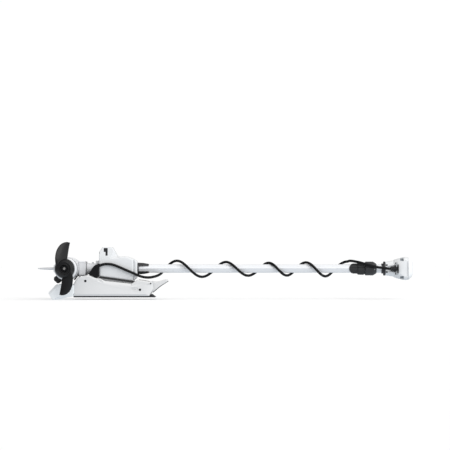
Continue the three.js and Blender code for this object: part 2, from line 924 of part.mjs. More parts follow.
function armature() {
  const core = turnedY(rod(-62, 62, 38.5));
  const shaft = turnedY(rod(-203, 100, PROP_SHAFT_R), MOTOR_X, SHAFT_Z, 12);
  const pinHole = turnedX(rod(MOTOR_X - 15, MOTOR_X + 15, 3), -163.5, SHAFT_Z, 10);
  return cut(join(core, shaft), pinHole);
}

const drivePin = () => turnedX(rod(MOTOR_X - 14, MOTOR_X + 14, 2.6), -163.5, SHAFT_Z, 10);
function propNut() {
  const hexagon = turnedY(rod(-205, -197, 14), MOTOR_X, SHAFT_Z, 6);
  return cut(hexagon, turnedY(rod(-240, -190, PROP_SHAFT_R + 2 * GAP), MOTOR_X, SHAFT_Z, 12));
}

piece("propeller", "propeller", propeller(), COMPOSITE);
piece("propeller", "propeller_nut", propNut(), STEEL);
piece("propeller", "drive_pin", drivePin(), STEEL);
piece("propeller", "armature", armature(), STEEL);

// ---- Control head ----
const headFlange = () =>
  turnedX([
    [1346, SHAFT_R + GAP],
    [1346, 25],
    [1356, 25],
    [1356, 35],
    [1365, 35],
    [1365, SHAFT_R + GAP],
    [1346, SHAFT_R + GAP],
  ]);

const HEAD_SCREW_X = 1371;
const HEAD_SCREW_R = 4.6;
const HEAD_SCREW_ANGLES = [-30, 30]; // degrees about the shaft, from the propeller side

// A short rod that points out from the shaft's axis, through the head's neck.
function neckScrew(angle, inner, outer, r) {
  const upright = turnedY(rod(-outer, -inner, r), HEAD_SCREW_X, 0, 12);
  return upright.rotate([angle, 0, 0]).translate([0, 0, SHAFT_Z]);
}

function headShell() {
  const shell = turnedX([
    [1365.3, SHAFT_R + GAP],
    [1365.3, 34],
    [1408, 40],
    [1422, 48],
    [1440, 53],
    [1460, 58],
    [1475, 57],
    [1475, 52],
    [1440, 47],
    [1415, 34],
    [1376, SHAFT_R + 6],
    [1376, SHAFT_R + GAP],
    [1365.3, SHAFT_R + GAP],
  ]);
  const pocket = turnedX(rod(1360, 1428, 22.5), GLAND.y, GLAND.z, 16);
  const holes = HEAD_SCREW_ANGLES.map((angle) => neckScrew(angle, 31, 40, HEAD_SCREW_R + GAP));
  return cut(shell, pocket, ...holes);
}

const headCap = () =>
  turnedX([
    [1475.3, 0],
    [1475.3, 57],
    [1486, 50],
    [1494, 43],
    [1499, 34],
    [1500, 0],
  ]);

const cableGland = () =>
  turnedX(
    [
      [1388, 0],
      [1388, 12.5],
      [1394, 14.5],
      [1421, 15.5],
      [1421, 21.5],
      [1427, 21.5],
      [1427, 0],
    ],
    GLAND.y,
    GLAND.z,
    16,
  );

const headScrew = (angle) => neckScrew(angle, 31 + GAP, 37, HEAD_SCREW_R);

piece("shaft", "head_flange", headFlange(), BLACK);
piece("shaft", "head_shell", headShell(), WHITE);
piece("shaft", "head_cap", headCap(), WHITE);
piece("shaft", "cable_gland", cut(cableGland(), turnedX(rod(1340, 1425, SHAFT_R + 14))), RUBBER);
piece("shaft", "head_screw_upper", headScrew(HEAD_SCREW_ANGLES[0]), BLACK);
piece("shaft", "head_screw_lower", headScrew(HEAD_SCREW_ANGLES[1]), BLACK);
piece("shaft", "head_board", block(1441, 1444, -38, 38, SHAFT_Z - 22, SHAFT_Z + 22), CIRCUIT);

// ---- Power and data cable ----
// The turns round the shaft, as the sleeve of space that they fill.
function cableCoil() {
  const bore = SHAFT_R + 2 * GAP;
  const outside = COIL_TURNS.map(([x, r]) => [x, r + CABLE_R + COIL_SAG]);
  outside[0][0] += GAP;
  const [start, end] = [outside[0][0], outside[outside.length - 1][0]];
  return turnedX([[start, bore], ...outside, [end, bore], [start, bore]], 0, SHAFT_Z, 16);
}

piece("tilt_arm", "cable_lead", along(LEAD_POINTS, CABLE_R), RUBBER);
piece("steering", "cable_coil", cableCoil(), RUBBER);
piece("shaft", "cable_head_lead", along(HEAD_LEAD_POINTS, CABLE_R, 8, 24), RUBBER);

export default root;
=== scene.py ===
"""Bow-mount trolling motor, stowed flat on its deck mount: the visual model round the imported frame.

Shapes are given in millimetres in the frame's own axes and become metres as each mesh is made.
"""

import contextlib
import math
import random

import bmesh
import bpy
from mathutils import Matrix, Vector


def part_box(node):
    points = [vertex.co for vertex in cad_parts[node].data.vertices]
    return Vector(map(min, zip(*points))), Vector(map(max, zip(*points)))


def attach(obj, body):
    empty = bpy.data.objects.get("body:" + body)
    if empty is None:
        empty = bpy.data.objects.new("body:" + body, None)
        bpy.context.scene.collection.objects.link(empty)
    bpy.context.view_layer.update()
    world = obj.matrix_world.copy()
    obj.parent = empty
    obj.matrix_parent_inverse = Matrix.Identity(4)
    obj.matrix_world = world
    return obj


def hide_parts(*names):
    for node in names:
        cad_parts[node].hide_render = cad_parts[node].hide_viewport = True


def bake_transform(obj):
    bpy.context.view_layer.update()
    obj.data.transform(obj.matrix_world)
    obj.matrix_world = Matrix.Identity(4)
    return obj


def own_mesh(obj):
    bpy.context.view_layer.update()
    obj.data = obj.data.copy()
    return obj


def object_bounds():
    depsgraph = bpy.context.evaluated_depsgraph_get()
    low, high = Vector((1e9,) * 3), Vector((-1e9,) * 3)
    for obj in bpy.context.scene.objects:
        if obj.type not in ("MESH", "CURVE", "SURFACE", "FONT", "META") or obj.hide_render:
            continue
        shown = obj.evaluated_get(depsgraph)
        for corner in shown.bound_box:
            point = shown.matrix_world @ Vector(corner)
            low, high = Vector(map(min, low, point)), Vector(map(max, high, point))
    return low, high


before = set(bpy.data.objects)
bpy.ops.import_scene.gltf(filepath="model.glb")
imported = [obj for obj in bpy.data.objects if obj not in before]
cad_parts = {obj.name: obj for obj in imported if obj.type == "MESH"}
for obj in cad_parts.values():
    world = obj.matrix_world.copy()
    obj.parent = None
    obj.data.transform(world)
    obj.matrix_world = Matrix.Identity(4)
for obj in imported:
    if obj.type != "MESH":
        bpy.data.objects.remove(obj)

MM = 0.001
CAD_BOX = [list(corner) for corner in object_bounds()]


def box_mm(node):
    """A CAD node's lowest and highest corners, in millimetres."""
    return [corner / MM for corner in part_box(node)]


# ---- Driving sizes, from the frame ----
shaft_low, shaft_high = box_mm("shaft_tube")
AXIS_Z = (shaft_low.z + shaft_high.z) / 2
SHAFT_R = (shaft_high.z - shaft_low.z) / 2
casing_low, casing_high = box_mm("motor_casing")
MOTOR_X = (casing_low.x + casing_high.x) / 2
MOTOR_R = (casing_high.x - casing_low.x) / 2
CASING_HALF = casing_high.y
SHAFT_LINE = (0, AXIS_Z)
SHAFT_MIDDLE = (0, 0, AXIS_Z)
MOTOR_LINE = (MOTOR_X, AXIS_Z)
MOTOR_MIDDLE = (MOTOR_X, 0, AXIS_Z)
COVER_OUT = box_mm("side_cover_far")[1].y
COVER_IN = box_mm("side_cover_far")[0].y
HOUSING_HALF = box_mm("housing_far")[1].y
FLOOR_Z = min(corner[2] for corner in CAD_BOX) / MM - 0.3

# ---- Camera ----
CAMERA_AT = (565, -8000, 174.9)
PITCH_UP = 1.325
LENS_MM = 128
camera = bpy.data.objects.new("camera", bpy.data.cameras.new("camera"))
bpy.context.scene.collection.objects.link(camera)
camera.location = Vector(CAMERA_AT) * MM
camera.rotation_euler = (math.radians(90 + PITCH_UP), 0, 0)
camera.data.lens = LENS_MM
camera.data.clip_end = 200
bpy.context.scene.camera = camera


# ---- Mesh making ----
@contextlib.contextmanager
def reshaping(mesh):
    """A mesh opened for editing, and written back afterwards."""
    work = bmesh.new()
    work.from_mesh(mesh)
    yield work
    work.to_mesh(mesh)
    work.free()


def mesh_object(name, points, faces):
    """A mesh object from points in millimetres, faces turned outwards."""
    mesh = bpy.data.meshes.new(name)
    mesh.from_pydata([Vector(p) * MM for p in points], [], faces)
    with reshaping(mesh) as work:
        bmesh.ops.remove_doubles(work, verts=work.verts, dist=1e-6)
        bmesh.ops.recalc_face_normals(work, faces=work.faces)
    obj = bpy.data.objects.new(name, mesh)
    bpy.context.scene.collection.objects.link(obj)
    return obj


def skin(name, rings, capped=True, looped=False):
    """A surface through rings of equal counts of points."""
    count = len(rings[0])
    faces = []
    last = len(rings) if looped else len(rings) - 1
    for r in range(last):
        here, there = r * count, (r + 1) % len(rings) * count
        for i in range(count):
            j = (i + 1) % count
            faces.append((here + i, here + j, there + j, there + i))
    if capped and not looped:
        faces.append(tuple(range(count)))
        faces.append(tuple(range(last * count, (last + 1) * count)))
    return mesh_object(name, [p for ring in rings for p in ring], faces)


def oblong(u0, u1, v0, v1):
    """The four corners of a rectangle."""
    return [(u0, v0), (u1, v0), (u1, v1), (u0, v1)]


SUPPORT = 0.5  # how far outside an arc its extra point lies, so that flats shade flat
NEARLY_STRAIGHT = math.radians(87)  # half the angle of a corner that needs no arc


def rounded(points, radius, steps=4, closed=True):
    """An outline with its corners turned to arcs. A point may carry its own radius as a third value."""
    out = []
    n = len(points)
    for i, point in enumerate(points):
        here = Vector(point[:2])
        own = point[2] if len(point) > 2 else radius
        if own <= 0 or (not closed and i in (0, n - 1)):
            out.append(tuple(here))
            continue
        back = Vector(points[i - 1][:2]) - here
        on = Vector(points[(i + 1) % n][:2]) - here
        half = back.angle(on) / 2
        if half > NEARLY_STRAIGHT:
            out.append(tuple(here))
            continue
        reach = min(own / math.tan(half), 0.4 * min(back.length, on.length))
        r = reach * math.tan(half)
        extra_back = min(SUPPORT, 0.08 * back.length)
        extra_on = min(SUPPORT, 0.08 * on.length)
        back, on = back.normalized(), on.normalized()
        centre = here + (back + on).normalized() * (r / math.sin(half))
        start, end = here + back * reach - centre, here + on * reach - centre
        out.append(tuple(centre + start + back * extra_back))
        out += [tuple(centre + start.slerp(end, k / steps).normalized() * r) for k in range(steps + 1)]
        out.append(tuple(centre + end + on * extra_on))
    return out


def inset(points, distance, radius=0.0):
    """A closed outline drawn in by a distance, its corners mitred and their radii changed to match."""
    n = len(points)
    turn = sum(a[0] * b[1] - b[0] * a[1] for a, b in zip(points, points[1:] + points[:1]))
    side = 1 if turn > 0 else -1
    out = []
    for i in range(n):
        a, b, c = (Vector(points[j % n][:2]) for j in (i - 1, i, i + 1))
        first, second = (b - a).normalized(), (c - b).normalized()
        n1 = Vector((-first.y, first.x)) * side
        n2 = Vector((-second.y, second.x)) * side
        place = b + (n1 + n2) * (distance / max(0.3, 1 + n1.dot(n2)))
        own = points[i][2] if len(points[i]) > 2 else radius
        convex = first.cross(second) * side > 0
        out.append((place.x, place.y, max(0.12, own - distance if convex else own + distance)))
    return out


PLACES = {"x": lambda u, v, d: (d, u, v), "y": lambda u, v, d: (u, d, v), "z": lambda u, v, d: (u, v, d)}


def plate(name, outline, low, high, edge=2.0, corner=3.0, axis="y", steps=4):
    """A solid between two depths along an axis, its rim rounded by edge, (low's, high's) if it is a pair."""
    edges = edge if isinstance(edge, tuple) else (edge, edge)
    rows = []
    for depth, radius, inward in ((low, edges[0], 1), (high, edges[1], -1)):
        row = [(depth, radius + min(SUPPORT, radius))]
        for k in range(steps + 1):
            angle = math.pi / 2 * k / steps
            row.append((depth + inward * radius * (1 - math.cos(angle)), radius * (1 - math.sin(angle))))
        row.append((depth + inward * (radius + min(SUPPORT, radius)), 0))
        rows.append(row)
    place = PLACES[axis]
    rings = []
    for depth, drawn in rows[0] + rows[1][::-1]:
        shape = rounded(inset(outline, drawn, corner), 0) if corner else inset(outline, drawn)
        rings.append([place(p[0], p[1], depth) for p in shape])
    return skin(name, rings)


def full_turn(count):
    """Evenly spaced angles round a turn."""
    return [2 * math.pi * k / count for k in range(count)]


def turned(name, profile, axis, centre, sides, corner=0.8):
    """A (distance along, radius) profile turned about a line; one that starts off the line is closed."""
    closed = profile[0][1] > 0
    shape = rounded(profile, corner, steps=4, closed=closed) if corner else profile
    place = {"x": lambda d, u, v: (d, centre[0] + u, centre[1] + v), "y": lambda d, u,
        v: (centre[0] + u, d, centre[1] + v), "z": lambda d, u, v: (centre[0] + u, centre[1] + v, d)}[
        axis]
    rings = []
    for along, r in shape:
        r = max(r, 0)
        rings.append([place(along, r * math.cos(a), r * math.sin(a)) for a in full_turn(sides)])
    return skin(name, rings, capped=False, looped=closed)


def about_shaft(name, profile, sides=128, corner=1.0):
    return turned(name, profile, "x", SHAFT_LINE, sides, corner)


def about_motor(name, profile, sides=128, corner=1.0):
    return turned(name, profile, "y", MOTOR_LINE, sides, corner)


def round_motor(radius, count, first=0):
    """Evenly spaced places (x, z) on a circle round the motor's line."""
    angles = [math.radians(first + 360 / count * k) for k in range(count)]
    return [(MOTOR_X + radius * math.cos(a), AXIS_Z + radius * math.sin(a)) for a in angles]


def bar(start, end, radius, axis, centre, sides=64):
    """A plain cylinder to cut with, between two places along an axis."""
    profile = [(start, 0), (start, radius), (end, radius), (end, 0)]
    return turned("tool", profile, axis, centre, sides, corner=0)


def hull(points, name="tool"):
    """The convex solid round a few points."""
    obj = mesh_object(name, points, [])
    with reshaping(obj.data) as work:
        made = bmesh.ops.convex_hull(work, input=work.verts)
        inner = [v for v in made["geom_interior"] if isinstance(v, bmesh.types.BMVert)]
        bmesh.ops.delete(work, geom=inner, context="VERTS")
        bmesh.ops.recalc_face_normals(work, faces=work.faces)
    return obj


def brick(x0, x1, y0, y1, z0, z1, edge=0.0, name="tool"):
    """A box, with rounded edges where edge isn't nought."""
    if edge:
        return plate(name, oblong(x0, x1, z0, z1), y0, y1, edge=edge, corner=edge * 1.2, steps=3)
    return hull([(x, y, z) for x in (x0, x1) for y in (y0, y1) for z in (z0, z1)], name)


def combine(obj, operation, tools):
    for tool in tools:
        step = obj.modifiers.new("combine", "BOOLEAN")
        step.operation = operation
        step.solver = "MANIFOLD"
        step.object = tool
    ready = obj.evaluated_get(bpy.context.evaluated_depsgraph_get())
    made = bpy.data.meshes.new_from_object(ready)
    obj.modifiers.clear()
    obj.data = made
    for tool in tools:
        bpy.data.objects.remove(tool)
    return obj


def carve(obj, *tools):
    return combine(obj, "DIFFERENCE", tools)


def weld(obj, *others):
    return combine(obj, "UNION", others)


def mirrored(obj):
    """The same piece on the other side of the middle plane."""
    obj.data.transform(Matrix.Scale(-1, 4, (0, 1, 0)))
    obj.data.flip_normals()
    return obj


def on_side(obj, side, name):
    """Names a piece made for the near side, and mirrors it where it belongs on the far one."""
    obj.name = name
    return mirrored(obj) if side == "far" else obj


def moved(obj, matrix):
    obj.data.transform(matrix)
    return obj


def about(axis, degrees, point):
    """A turn about a line along axis through a point in millimetres."""
    to = Matrix.Translation(Vector(point) * MM)
    return to @ Matrix.Rotation(math.radians(degrees), 4, axis) @ to.inverted()


def socket_screw(head, socket, axis, centre, sides, corner):
    """A turned screw head with a hexagon socket, which has a start, a floor and a radius."""
    return carve(turned("bolt", head, axis, centre, sides, corner), bar(*socket, axis, centre, 6))


def spaced(count, block, axis, point, first=0):
    """Boxes to cut with, turned evenly round a line along axis through point."""
    step = 360 / count
    return [moved(brick(*block), about(axis, first + step * k, point)) for k in range(count)]


SAME_PLANE = math.radians(0.6)  # faces that lean less than this from each other are one flat
SHARP = math.radians(34)  # edges that bend more than this are rounded


def softened(node, width=1.0, segments=2):
    """A copy of a CAD node with its flat faces made whole and its edges rounded."""
    obj = bpy.data.objects.new(f"{node}_finished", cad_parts[node].data.copy())
    obj.data.name = obj.name
    obj.data.materials.clear()
    bpy.context.scene.collection.objects.link(obj)
    with reshaping(obj.data) as work:
        bmesh.ops.remove_doubles(work, verts=work.verts, dist=1e-5)
        bmesh.ops.dissolve_limit(work, angle_limit=SAME_PLANE, verts=work.verts, edges=work.edges)
    bevel = obj.modifiers.new("edges", "BEVEL")
    bevel.width = width * MM
    bevel.segments = segments
    bevel.limit_method = "ANGLE"
    bevel.angle_limit = SHARP
    return obj


def tube(name, centres, radius, sides=20):
    """A round tube along points in millimetres, with closed ends."""
    points = [Vector(p) for p in centres]
    ahead = [(points[min(i + 1, len(points) - 1)] - points[max(i - 1, 0)]).normalized()
        for i in range(len(points))]
    across = ahead[0].orthogonal().normalized()
    rings = []
    for i, (point, way) in enumerate(zip(points, ahead)):
        across = (across - way * across.dot(way)).normalized()
        up = way.cross(across)
        rings.append([point + (across * math.cos(a) + up * math.sin(a)) * radius
            for a in full_turn(sides)])
    return skin(name, rings)


def smooth_path(points, step=4.0):
    """Points every few millimetres on a smooth curve through the given ones."""
    points = [Vector(p) for p in points]
    ends = [points[0] * 2 - points[1]] + points + [points[-1] * 2 - points[-2]]
    out = []
    for i in range(1, len(ends) - 2):
        a, b, c, d = ends[i - 1 : i + 3]
        parts = max(1, round((c - b).length / step))
        for k in range(parts):
            t = k / parts
            bent = 2 * b + (c - a) * t + (2 * a - 5 * b + 4 * c - d) * t**2 + (3 * b - a - 3 * c
                + d) * t**3
            out.append(bent / 2)
    return out + [points[-1]]


def piece(obj, body, slot, finish, *replaced, crease=34):
    """Gives a piece its shading, its finish, the body that it rides on and the nodes it stands for."""
    obj.data.polygons.foreach_set("use_smooth", [True] * len(obj.data.polygons))
    obj.data.set_sharp_from_angle(angle=math.radians(crease))
    obj.data.materials.clear()
    obj.data.materials.append(finish.material)
    if body:
        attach(obj, body)
    if replaced:
        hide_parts(*replaced)
    return obj


# ---- Materials ----
def shader_node(tree, kind, inputs=None, **settings):
    """A new shader node with its settings, and with its inputs set or linked."""
    node = tree.nodes.new(f"ShaderNode{kind}")
    for key, value in settings.items():
        setattr(node, key, value)
    for key, value in (inputs or {}).items():
        if isinstance(value, bpy.types.NodeSocket):
            tree.links.new(value, node.inputs[key])
        else:
            node.inputs[key].default_value = value
    return node


class Finish:
    """A Principled material whose colour, roughness and relief come from noise in object space."""

    def __init__(self, name, colour, roughness, metallic=0.0):
        self.material = bpy.data.materials.new(name)
        self.material.use_nodes = True
        self.tree = self.material.node_tree
        self.shader = self.tree.nodes["Principled BSDF"]
        self.colour = colour
        self.roughness = roughness
        self.shader.inputs["Base Color"].default_value = (*colour, 1)
        self.shader.inputs["Roughness"].default_value = roughness
        self.shader.inputs["Metallic"].default_value = metallic
        self.place = self.add("TexCoord").outputs["Object"]
        self.relief = None

    def add(self, kind, inputs=None, **settings):
        return shader_node(self.tree, kind, inputs, **settings)

    def stretched(self, scale):
        return self.add("Mapping", {"Vector": self.place, "Scale": scale}).outputs[0]

    def noise(self, scale, detail=3.0, rough=0.55, place=None):
        wanted = {"Vector": place or self.place, "Scale": scale, "Detail": detail, "Roughness": rough}
        return self.add("TexNoise", wanted).outputs["Fac"]

    def mapped(self, value, low, high, out_low, out_high):
        wanted = {0: value, 1: low, 2: high, 3: out_low, 4: out_high}
        return self.add("MapRange", wanted).outputs[0]

    def tint(self, factor, other, source=None):
        """Mixes the colour towards another by a factor."""
        mix = self.add("Mix", {"Factor": factor}, data_type="RGBA")
        if source:
            self.tree.links.new(source, mix.inputs["A"])
        else:
            mix.inputs["A"].default_value = (*self.colour, 1)
        mix.inputs["B"].default_value = (*other, 1)
        self.tree.links.new(mix.outputs["Result"], self.shader.inputs["Base Color"])
        return mix.outputs["Result"]

    def rough(self, factor, low, high):
        self.tree.links.new(self.mapped(factor, 0.3, 0.7, low, high), self.shader.inputs["Roughness"])

    def bump(self, height, depth_mm, strength=1.0):
        wanted = {"Height": height, "Distance": depth_mm * MM, "Strength": strength}
        node = self.add("Bump", wanted)
        if self.relief:
            self.tree.links.new(self.relief, node.inputs["Normal"])
        self.relief = node.outputs["Normal"]
        self.tree.links.new(self.relief, self.shader.inputs["Normal"])


def shaded(colour, factor):
    return tuple(min(1, c * factor) for c in colour)


def white_finish(name, colour, roughness, grain_mm=0.03, grime=0.5):
    """Gloss white moulding or paint: faint mottling, orange peel and a little dust in broad patches."""
    made = Finish(name, colour, roughness)
    patches = made.noise(9, 4)
    dusty = made.tint(made.mapped(patches, 0.45, 0.8, 0, grime), shaded(colour, 0.93))
    flecks = made.noise(420, 2)
    made.tint(made.mapped(flecks, 0.62, 0.8, 0, 0.35), shaded(colour, 0.86), dusty)
    made.rough(patches, roughness - 0.05, roughness + 0.07)
    made.bump(made.noise(260, 2), grain_mm)
    made.bump(made.noise(38, 1), grain_mm * 3, 0.35)
    return made


def black_finish(name, colour, roughness, scale=900.0, depth=0.05, fleck=1.9, shine=0.5):
    """Black moulding: fine spark-eroded grain with paler flecks and soft handling marks."""
    made = Finish(name, colour, roughness)
    made.shader.inputs["Specular IOR Level"].default_value = shine
    grain = made.noise(scale, 2)
    toned = made.tint(made.mapped(grain, 0.55, 0.75, 0, 0.7), shaded(colour, fleck))
    marks = made.noise(22, 4)
    made.tint(made.mapped(marks, 0.5, 0.8, 0, 0.5), shaded(colour, 1.5), toned)
    made.rough(marks, roughness - 0.07, roughness + 0.08)
    made.bump(grain, depth)
    return made


def metal_finish(name, colour, roughness, stretch=(40, 900, 900), depth=0.02):
    """Turned or brushed metal: streaks along one direction with tarnish in patches."""
    made = Finish(name, colour, roughness, metallic=1.0)
    streaks = made.noise(1, 3, place=made.stretched(stretch))
    patches = made.noise(30, 3)
    toned = made.tint(made.mapped(streaks, 0.35, 0.7, 0, 0.8), shaded(colour, 0.72))
    made.tint(made.mapped(patches, 0.55, 0.8, 0, 0.4), shaded(colour, 0.55), toned)
    made.rough(streaks, roughness - 0.06, roughness + 0.1)
    made.bump(streaks, depth)
    return made


def circuit_finish():
    """Solder-masked board: straight traces under the mask and pale pads in a grid."""
    made = Finish("circuit_board", (0.02, 0.12, 0.05), 0.35)
    cells = {"Vector": made.place, "Scale": 260.0, "Color1": (0, 0, 0, 1), "Color2": (1, 1, 1, 1)}
    squares = made.add("TexChecker", cells).outputs["Fac"]
    blobs = made.noise(70, 1)
    traces = made.add("Math", {0: squares, 1: made.mapped(blobs, 0.5, 0.55, 0, 1)}, operation="MULTIPLY")
    made.tint(traces.outputs[0], (0.06, 0.24, 0.1))
    made.bump(traces.outputs[0], 0.03)
    return made


DIAMOND_PITCH = 5.2 * MM


def knurled_finish():
    """Moulded rubber with a diamond pattern pressed into it."""
    made = black_finish("boot_rubber", (0.008, 0.008, 0.0085), 0.62, depth=0.08, fleck=2.0, shine=0.1)
    slanted = {"Vector": made.place, "Rotation": (0, math.radians(45), 0)}
    axes = made.add("SeparateXYZ", {0: made.add("Mapping", slanted).outputs[0]})
    waves = []
    for axis in ("X", "Z"):
        phase = made.add("Math", {0: axes.outputs[axis], 1: 2 * math.pi / DIAMOND_PITCH},
            operation="MULTIPLY")
        waves.append(made.add("Math", {0: phase.outputs[0]}, operation="SINE").outputs[0])
    diamonds = made.add("Math", {0: waves[0], 1: waves[1]}, operation="MULTIPLY").outputs[0]
    made.bump(made.mapped(diamonds, -1, 1, 0, 1), 0.7)
    return made


white = white_finish("white_moulding", (0.80, 0.81, 0.82), 0.34)
# The housing's white moulding, made darker than the head's: its grey is painted shade.
shaded_white_hood = white_finish("shaded_white_hood", (0.72, 0.73, 0.74), 0.34, 0.02)
# A greyer copy of the white moulding for the side covers and the pedal: the grey is partly their own tone
# and partly painted shade.
shaded_white_cover = white_finish("shaded_white_cover", (0.69, 0.69, 0.69), 0.38)
white_shaft = white_finish("white_shaft", (0.80, 0.81, 0.83), 0.28, 0.015, 0.3)
white_paint = white_finish("white_paint", (0.74, 0.75, 0.77), 0.3, 0.04)
cast_paint = white_finish("cast_paint", (0.72, 0.725, 0.74), 0.4, 0.09)
cool_grey = white_finish("cool_grey_moulding", (0.84, 0.865, 0.88), 0.42, 0.05)
rubber = black_finish("moulded_rubber", (0.017, 0.017, 0.018), 0.72, 500, 0.12)
knurled = knurled_finish()
jacket = black_finish("cable_jacket", (0.007, 0.007, 0.0075), 0.45, 700, 0.05, 1.6, shine=0.12)
satin_black = black_finish("satin_black", (0.018, 0.018, 0.02), 0.45)
composite = black_finish("glass_filled_black", (0.004, 0.004, 0.0045), 0.34, 1300, 0.03, 2.6, shine=0.32)
steel = metal_finish("stainless_steel", (0.6, 0.6, 0.6), 0.3)
laminations = metal_finish("stator_laminations", (0.34, 0.33, 0.32), 0.42, (60, 2600, 60), 0.05)
black_steel = metal_finish("blackened_steel", (0.045, 0.046, 0.05), 0.38)
aluminium = metal_finish("anodised_aluminium", (0.66, 0.67, 0.68), 0.36)
bronze = metal_finish("sintered_bronze", (0.55, 0.4, 0.2), 0.45, (600, 600, 600), 0.06)
circuit = circuit_finish()
window = black_finish("smoked_window", (0.01, 0.01, 0.012), 0.12, 300, 0.004, 1.3)
vent_grey = black_finish("vent_mesh", (0.2, 0.22, 0.24), 0.7, 300, 0.1, 1.4)
trim_grey = white_finish("trim_grey", (0.34, 0.35, 0.36), 0.5, 0.06)

# ---- Cable ----
CABLE_R = 6.5
CABLE_SIDES = 20
COIL_SAG = 3
LEAD_POINTS = [
    (-56.7, -79, 158.6), (-51, -79, 159), (-39, -79, 162.6), (-24, -79, 165), (0, -79, 163.5),
    (25, -79, 156.5), (50, -79, 146), (75, -79, 135), (100, -79, 124.5), (124, -78, 113.5),
    (148, -74, 104), (170, -66, 99), (192, -52, 98.5), (212, -34, 102), (229, -8, 107.5), (243, 17, 116),
    (254, 35, 128),
]
HEAD_LEAD_POINTS = [
    (1186, -4, 180.5), (1200, -12, 180), (1214, -21, 177.5), (1237, -32, 172.5), (1261, -40, 165.5),
    (1286, -44.5, 158.5), (1311, -47, 152), (1336, -48.5, 147), (1361, -50, 143.5), (1387, -51, 141),
]
# Where each turn passes behind the shaft, with its radius there; the last is a quarter turn on.
COIL_TURNS = [(262.5, 43), (515, 37), (737.5, 31), (920, 32), (1115, 37), (1178, 38)]
TURN_STEPS = 64


def coil_path():
    points = []
    for turn, ((x0, r0), (x1, r1)) in enumerate(zip(COIL_TURNS, COIL_TURNS[1:])):
        whole = 1.0 if turn < len(COIL_TURNS) - 2 else 0.25
        steps = round(TURN_STEPS * whole)
        for k in range(steps + (whole < 1)):
            share = k / steps
            radius = r0 + (r1 - r0) * share
            angle = 2 * math.pi * share * whole
            x = x0 + (x1 - x0) * share
            points.append((x, radius * math.cos(angle), AXIS_Z - COIL_SAG + radius * math.sin(angle)))
    return points


def cable(name, points, node):
    """One stretch of the cable: a round tube along its own path."""
    obj = tube(name, points, CABLE_R, CABLE_SIDES)
    piece(obj, None, "cable_jacket", jacket, node)
    return obj


coil_points = coil_path()
lead_points = smooth_path(LEAD_POINTS + [coil_points[0]])
head_lead_points = smooth_path([coil_points[-1]] + HEAD_LEAD_POINTS)
cable_lead = cable("cable_along_housing", lead_points, "cable_lead")
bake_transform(cable_lead)
cable_coil = cable("cable_turns", coil_points, "cable_coil")
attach(cable_coil, "steering")
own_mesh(cable_coil)
cable_head = cable("cable_to_head", head_lead_points, "cable_head_lead")
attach(cable_head, "shaft")


# ---- Deck mount ----
COVER = [
    (-183, 66, 6), (-176, 81, 8), (-161, 99, 14), (-112, 111, 24), (-77, 96, 16), (-52, 93, 14),
    (-28, 81, 18), (102, 67, 12), (132, 88, 14), (192, 78, 7), (206, 73, 7), (210, 44, 6), (194, 15, 5),
    (190, 7, 3), (-183, 7, 3),
]
COVER_BOLTS = [("bow", -125, 81), ("rear", 145, 38)]
PIN_PLUG = (197.5, 69)
SIDES = ("near", "far")


def side_cover():
    """The propeller side's cover, hollow behind its face."""
    face = -COVER_OUT
    shell = plate("cover", COVER, face, -COVER_IN, edge=(6.5, 0.8), corner=6)
    chamfer = ((face - 1, 17.5), (face - 1, 5), (face + 7.5, 5))
    lip = hull([(x, y, z) for x in (-200, 230) for y, z in chamfer])
    heel = hull([(172, face - 0.5, z) for z in (0, 62)] + [(196, face - 0.5, 70)]
        + [(214, y, z) for y in (face - 0.5, face + 13) for z in (0, 74)])
    ledge = ((-0.5, -15), (-0.5, 3), (9, 3))
    brow = hull([(x, face + y, top + z) for x, top in ((-34, 83.5), (104, 68.5)) for y, z in ledge])
    hollow = brick(-172, 182, face + 6, -COVER_IN + 1, 16, 60)
    tools = [lip, heel, brow, hollow]
    for _, x, z in COVER_BOLTS:
        tools.append(bar(face - 1, face + 3, 6.4, "y", (x, z), 40))
    tools.append(plate("tool", oblong(100, 135, 31.5, 48.5), face - 1, face + 2, edge=0.1, corner=8))
    tools.append(plate("tool", oblong(106, 124, 37, 42), face - 1, face + 4, edge=0.1, corner=2.4))
    tools.append(bar(face - 1, face + 12, 3.4, "y", PIN_PLUG, 32))
    dimple = turned("tool", [(-6, 0), (-4.5, 4), (0, 6), (4.5, 4), (6, 0)], "y", (0, 0), 40, corner=1.5)
    place = Matrix.Translation(Vector((-53, face - 2.2, 81)) * MM)
    slope = Matrix.Rotation(math.radians(24), 4, "Y")
    moved(dimple, place @ slope @ Matrix.Diagonal((2.7, 0.9, 1.35, 1)))
    tools.append(dimple)
    return carve(shell, *tools)


def cover_bolt(x, z):
    """A flanged bolt head with a hexagon socket, sunk in its recess."""
    face = -COVER_OUT
    profile = ((2.7, 0), (2.7, 6), (1.7, 6), (1.4, 5.2), (0.5, 4.8), (0.5, 0))
    head = [(face + y, r) for y, r in profile]
    return socket_screw(head, (face - 1, face + 1.9, 2.9), "y", (x, z), 48, 0.35)


def nose_cheek():
    """One side of the bow wedge, with a chamfered chin."""
    face = -COVER_OUT
    outline = [
        (-309, 23, 7), (-270, 64, 6), (-183.5, 64, 2), (-183.5, 6.5, 2), (-222, -1.5, 14),
        (-262, -11, 12), (-288, -11, 6),
    ]
    cheek = plate("nose_cheek", outline, face, -COVER_IN + 0.7, edge=(3.5, 0.6), corner=5)
    chin = []
    for x, top, foot in ((-292, -12, -16), (-240, 10, -13), (-183, 11, -8)):
        chin += [(x, face - 0.5, top), (x, face - 0.5, foot), (x, face + 9, foot)]
    brow = hull([(-312, face - 0.5, 30), (-312, face + 12, 22), (-312, face - 0.5, 22),
        (-268, face - 0.5, 68), (-268, face + 10, 68), (-262, face - 0.5, 56), (-300, face - 0.5, 16)])
    groove = brick(-266.5, -265, face - 1, face + 0.9, -2, 61)
    lap = brick(-189, -177, face + 0.7, face + 8, 19, 61)
    return weld(carve(cheek, hull(chin), brow, groove), lap)


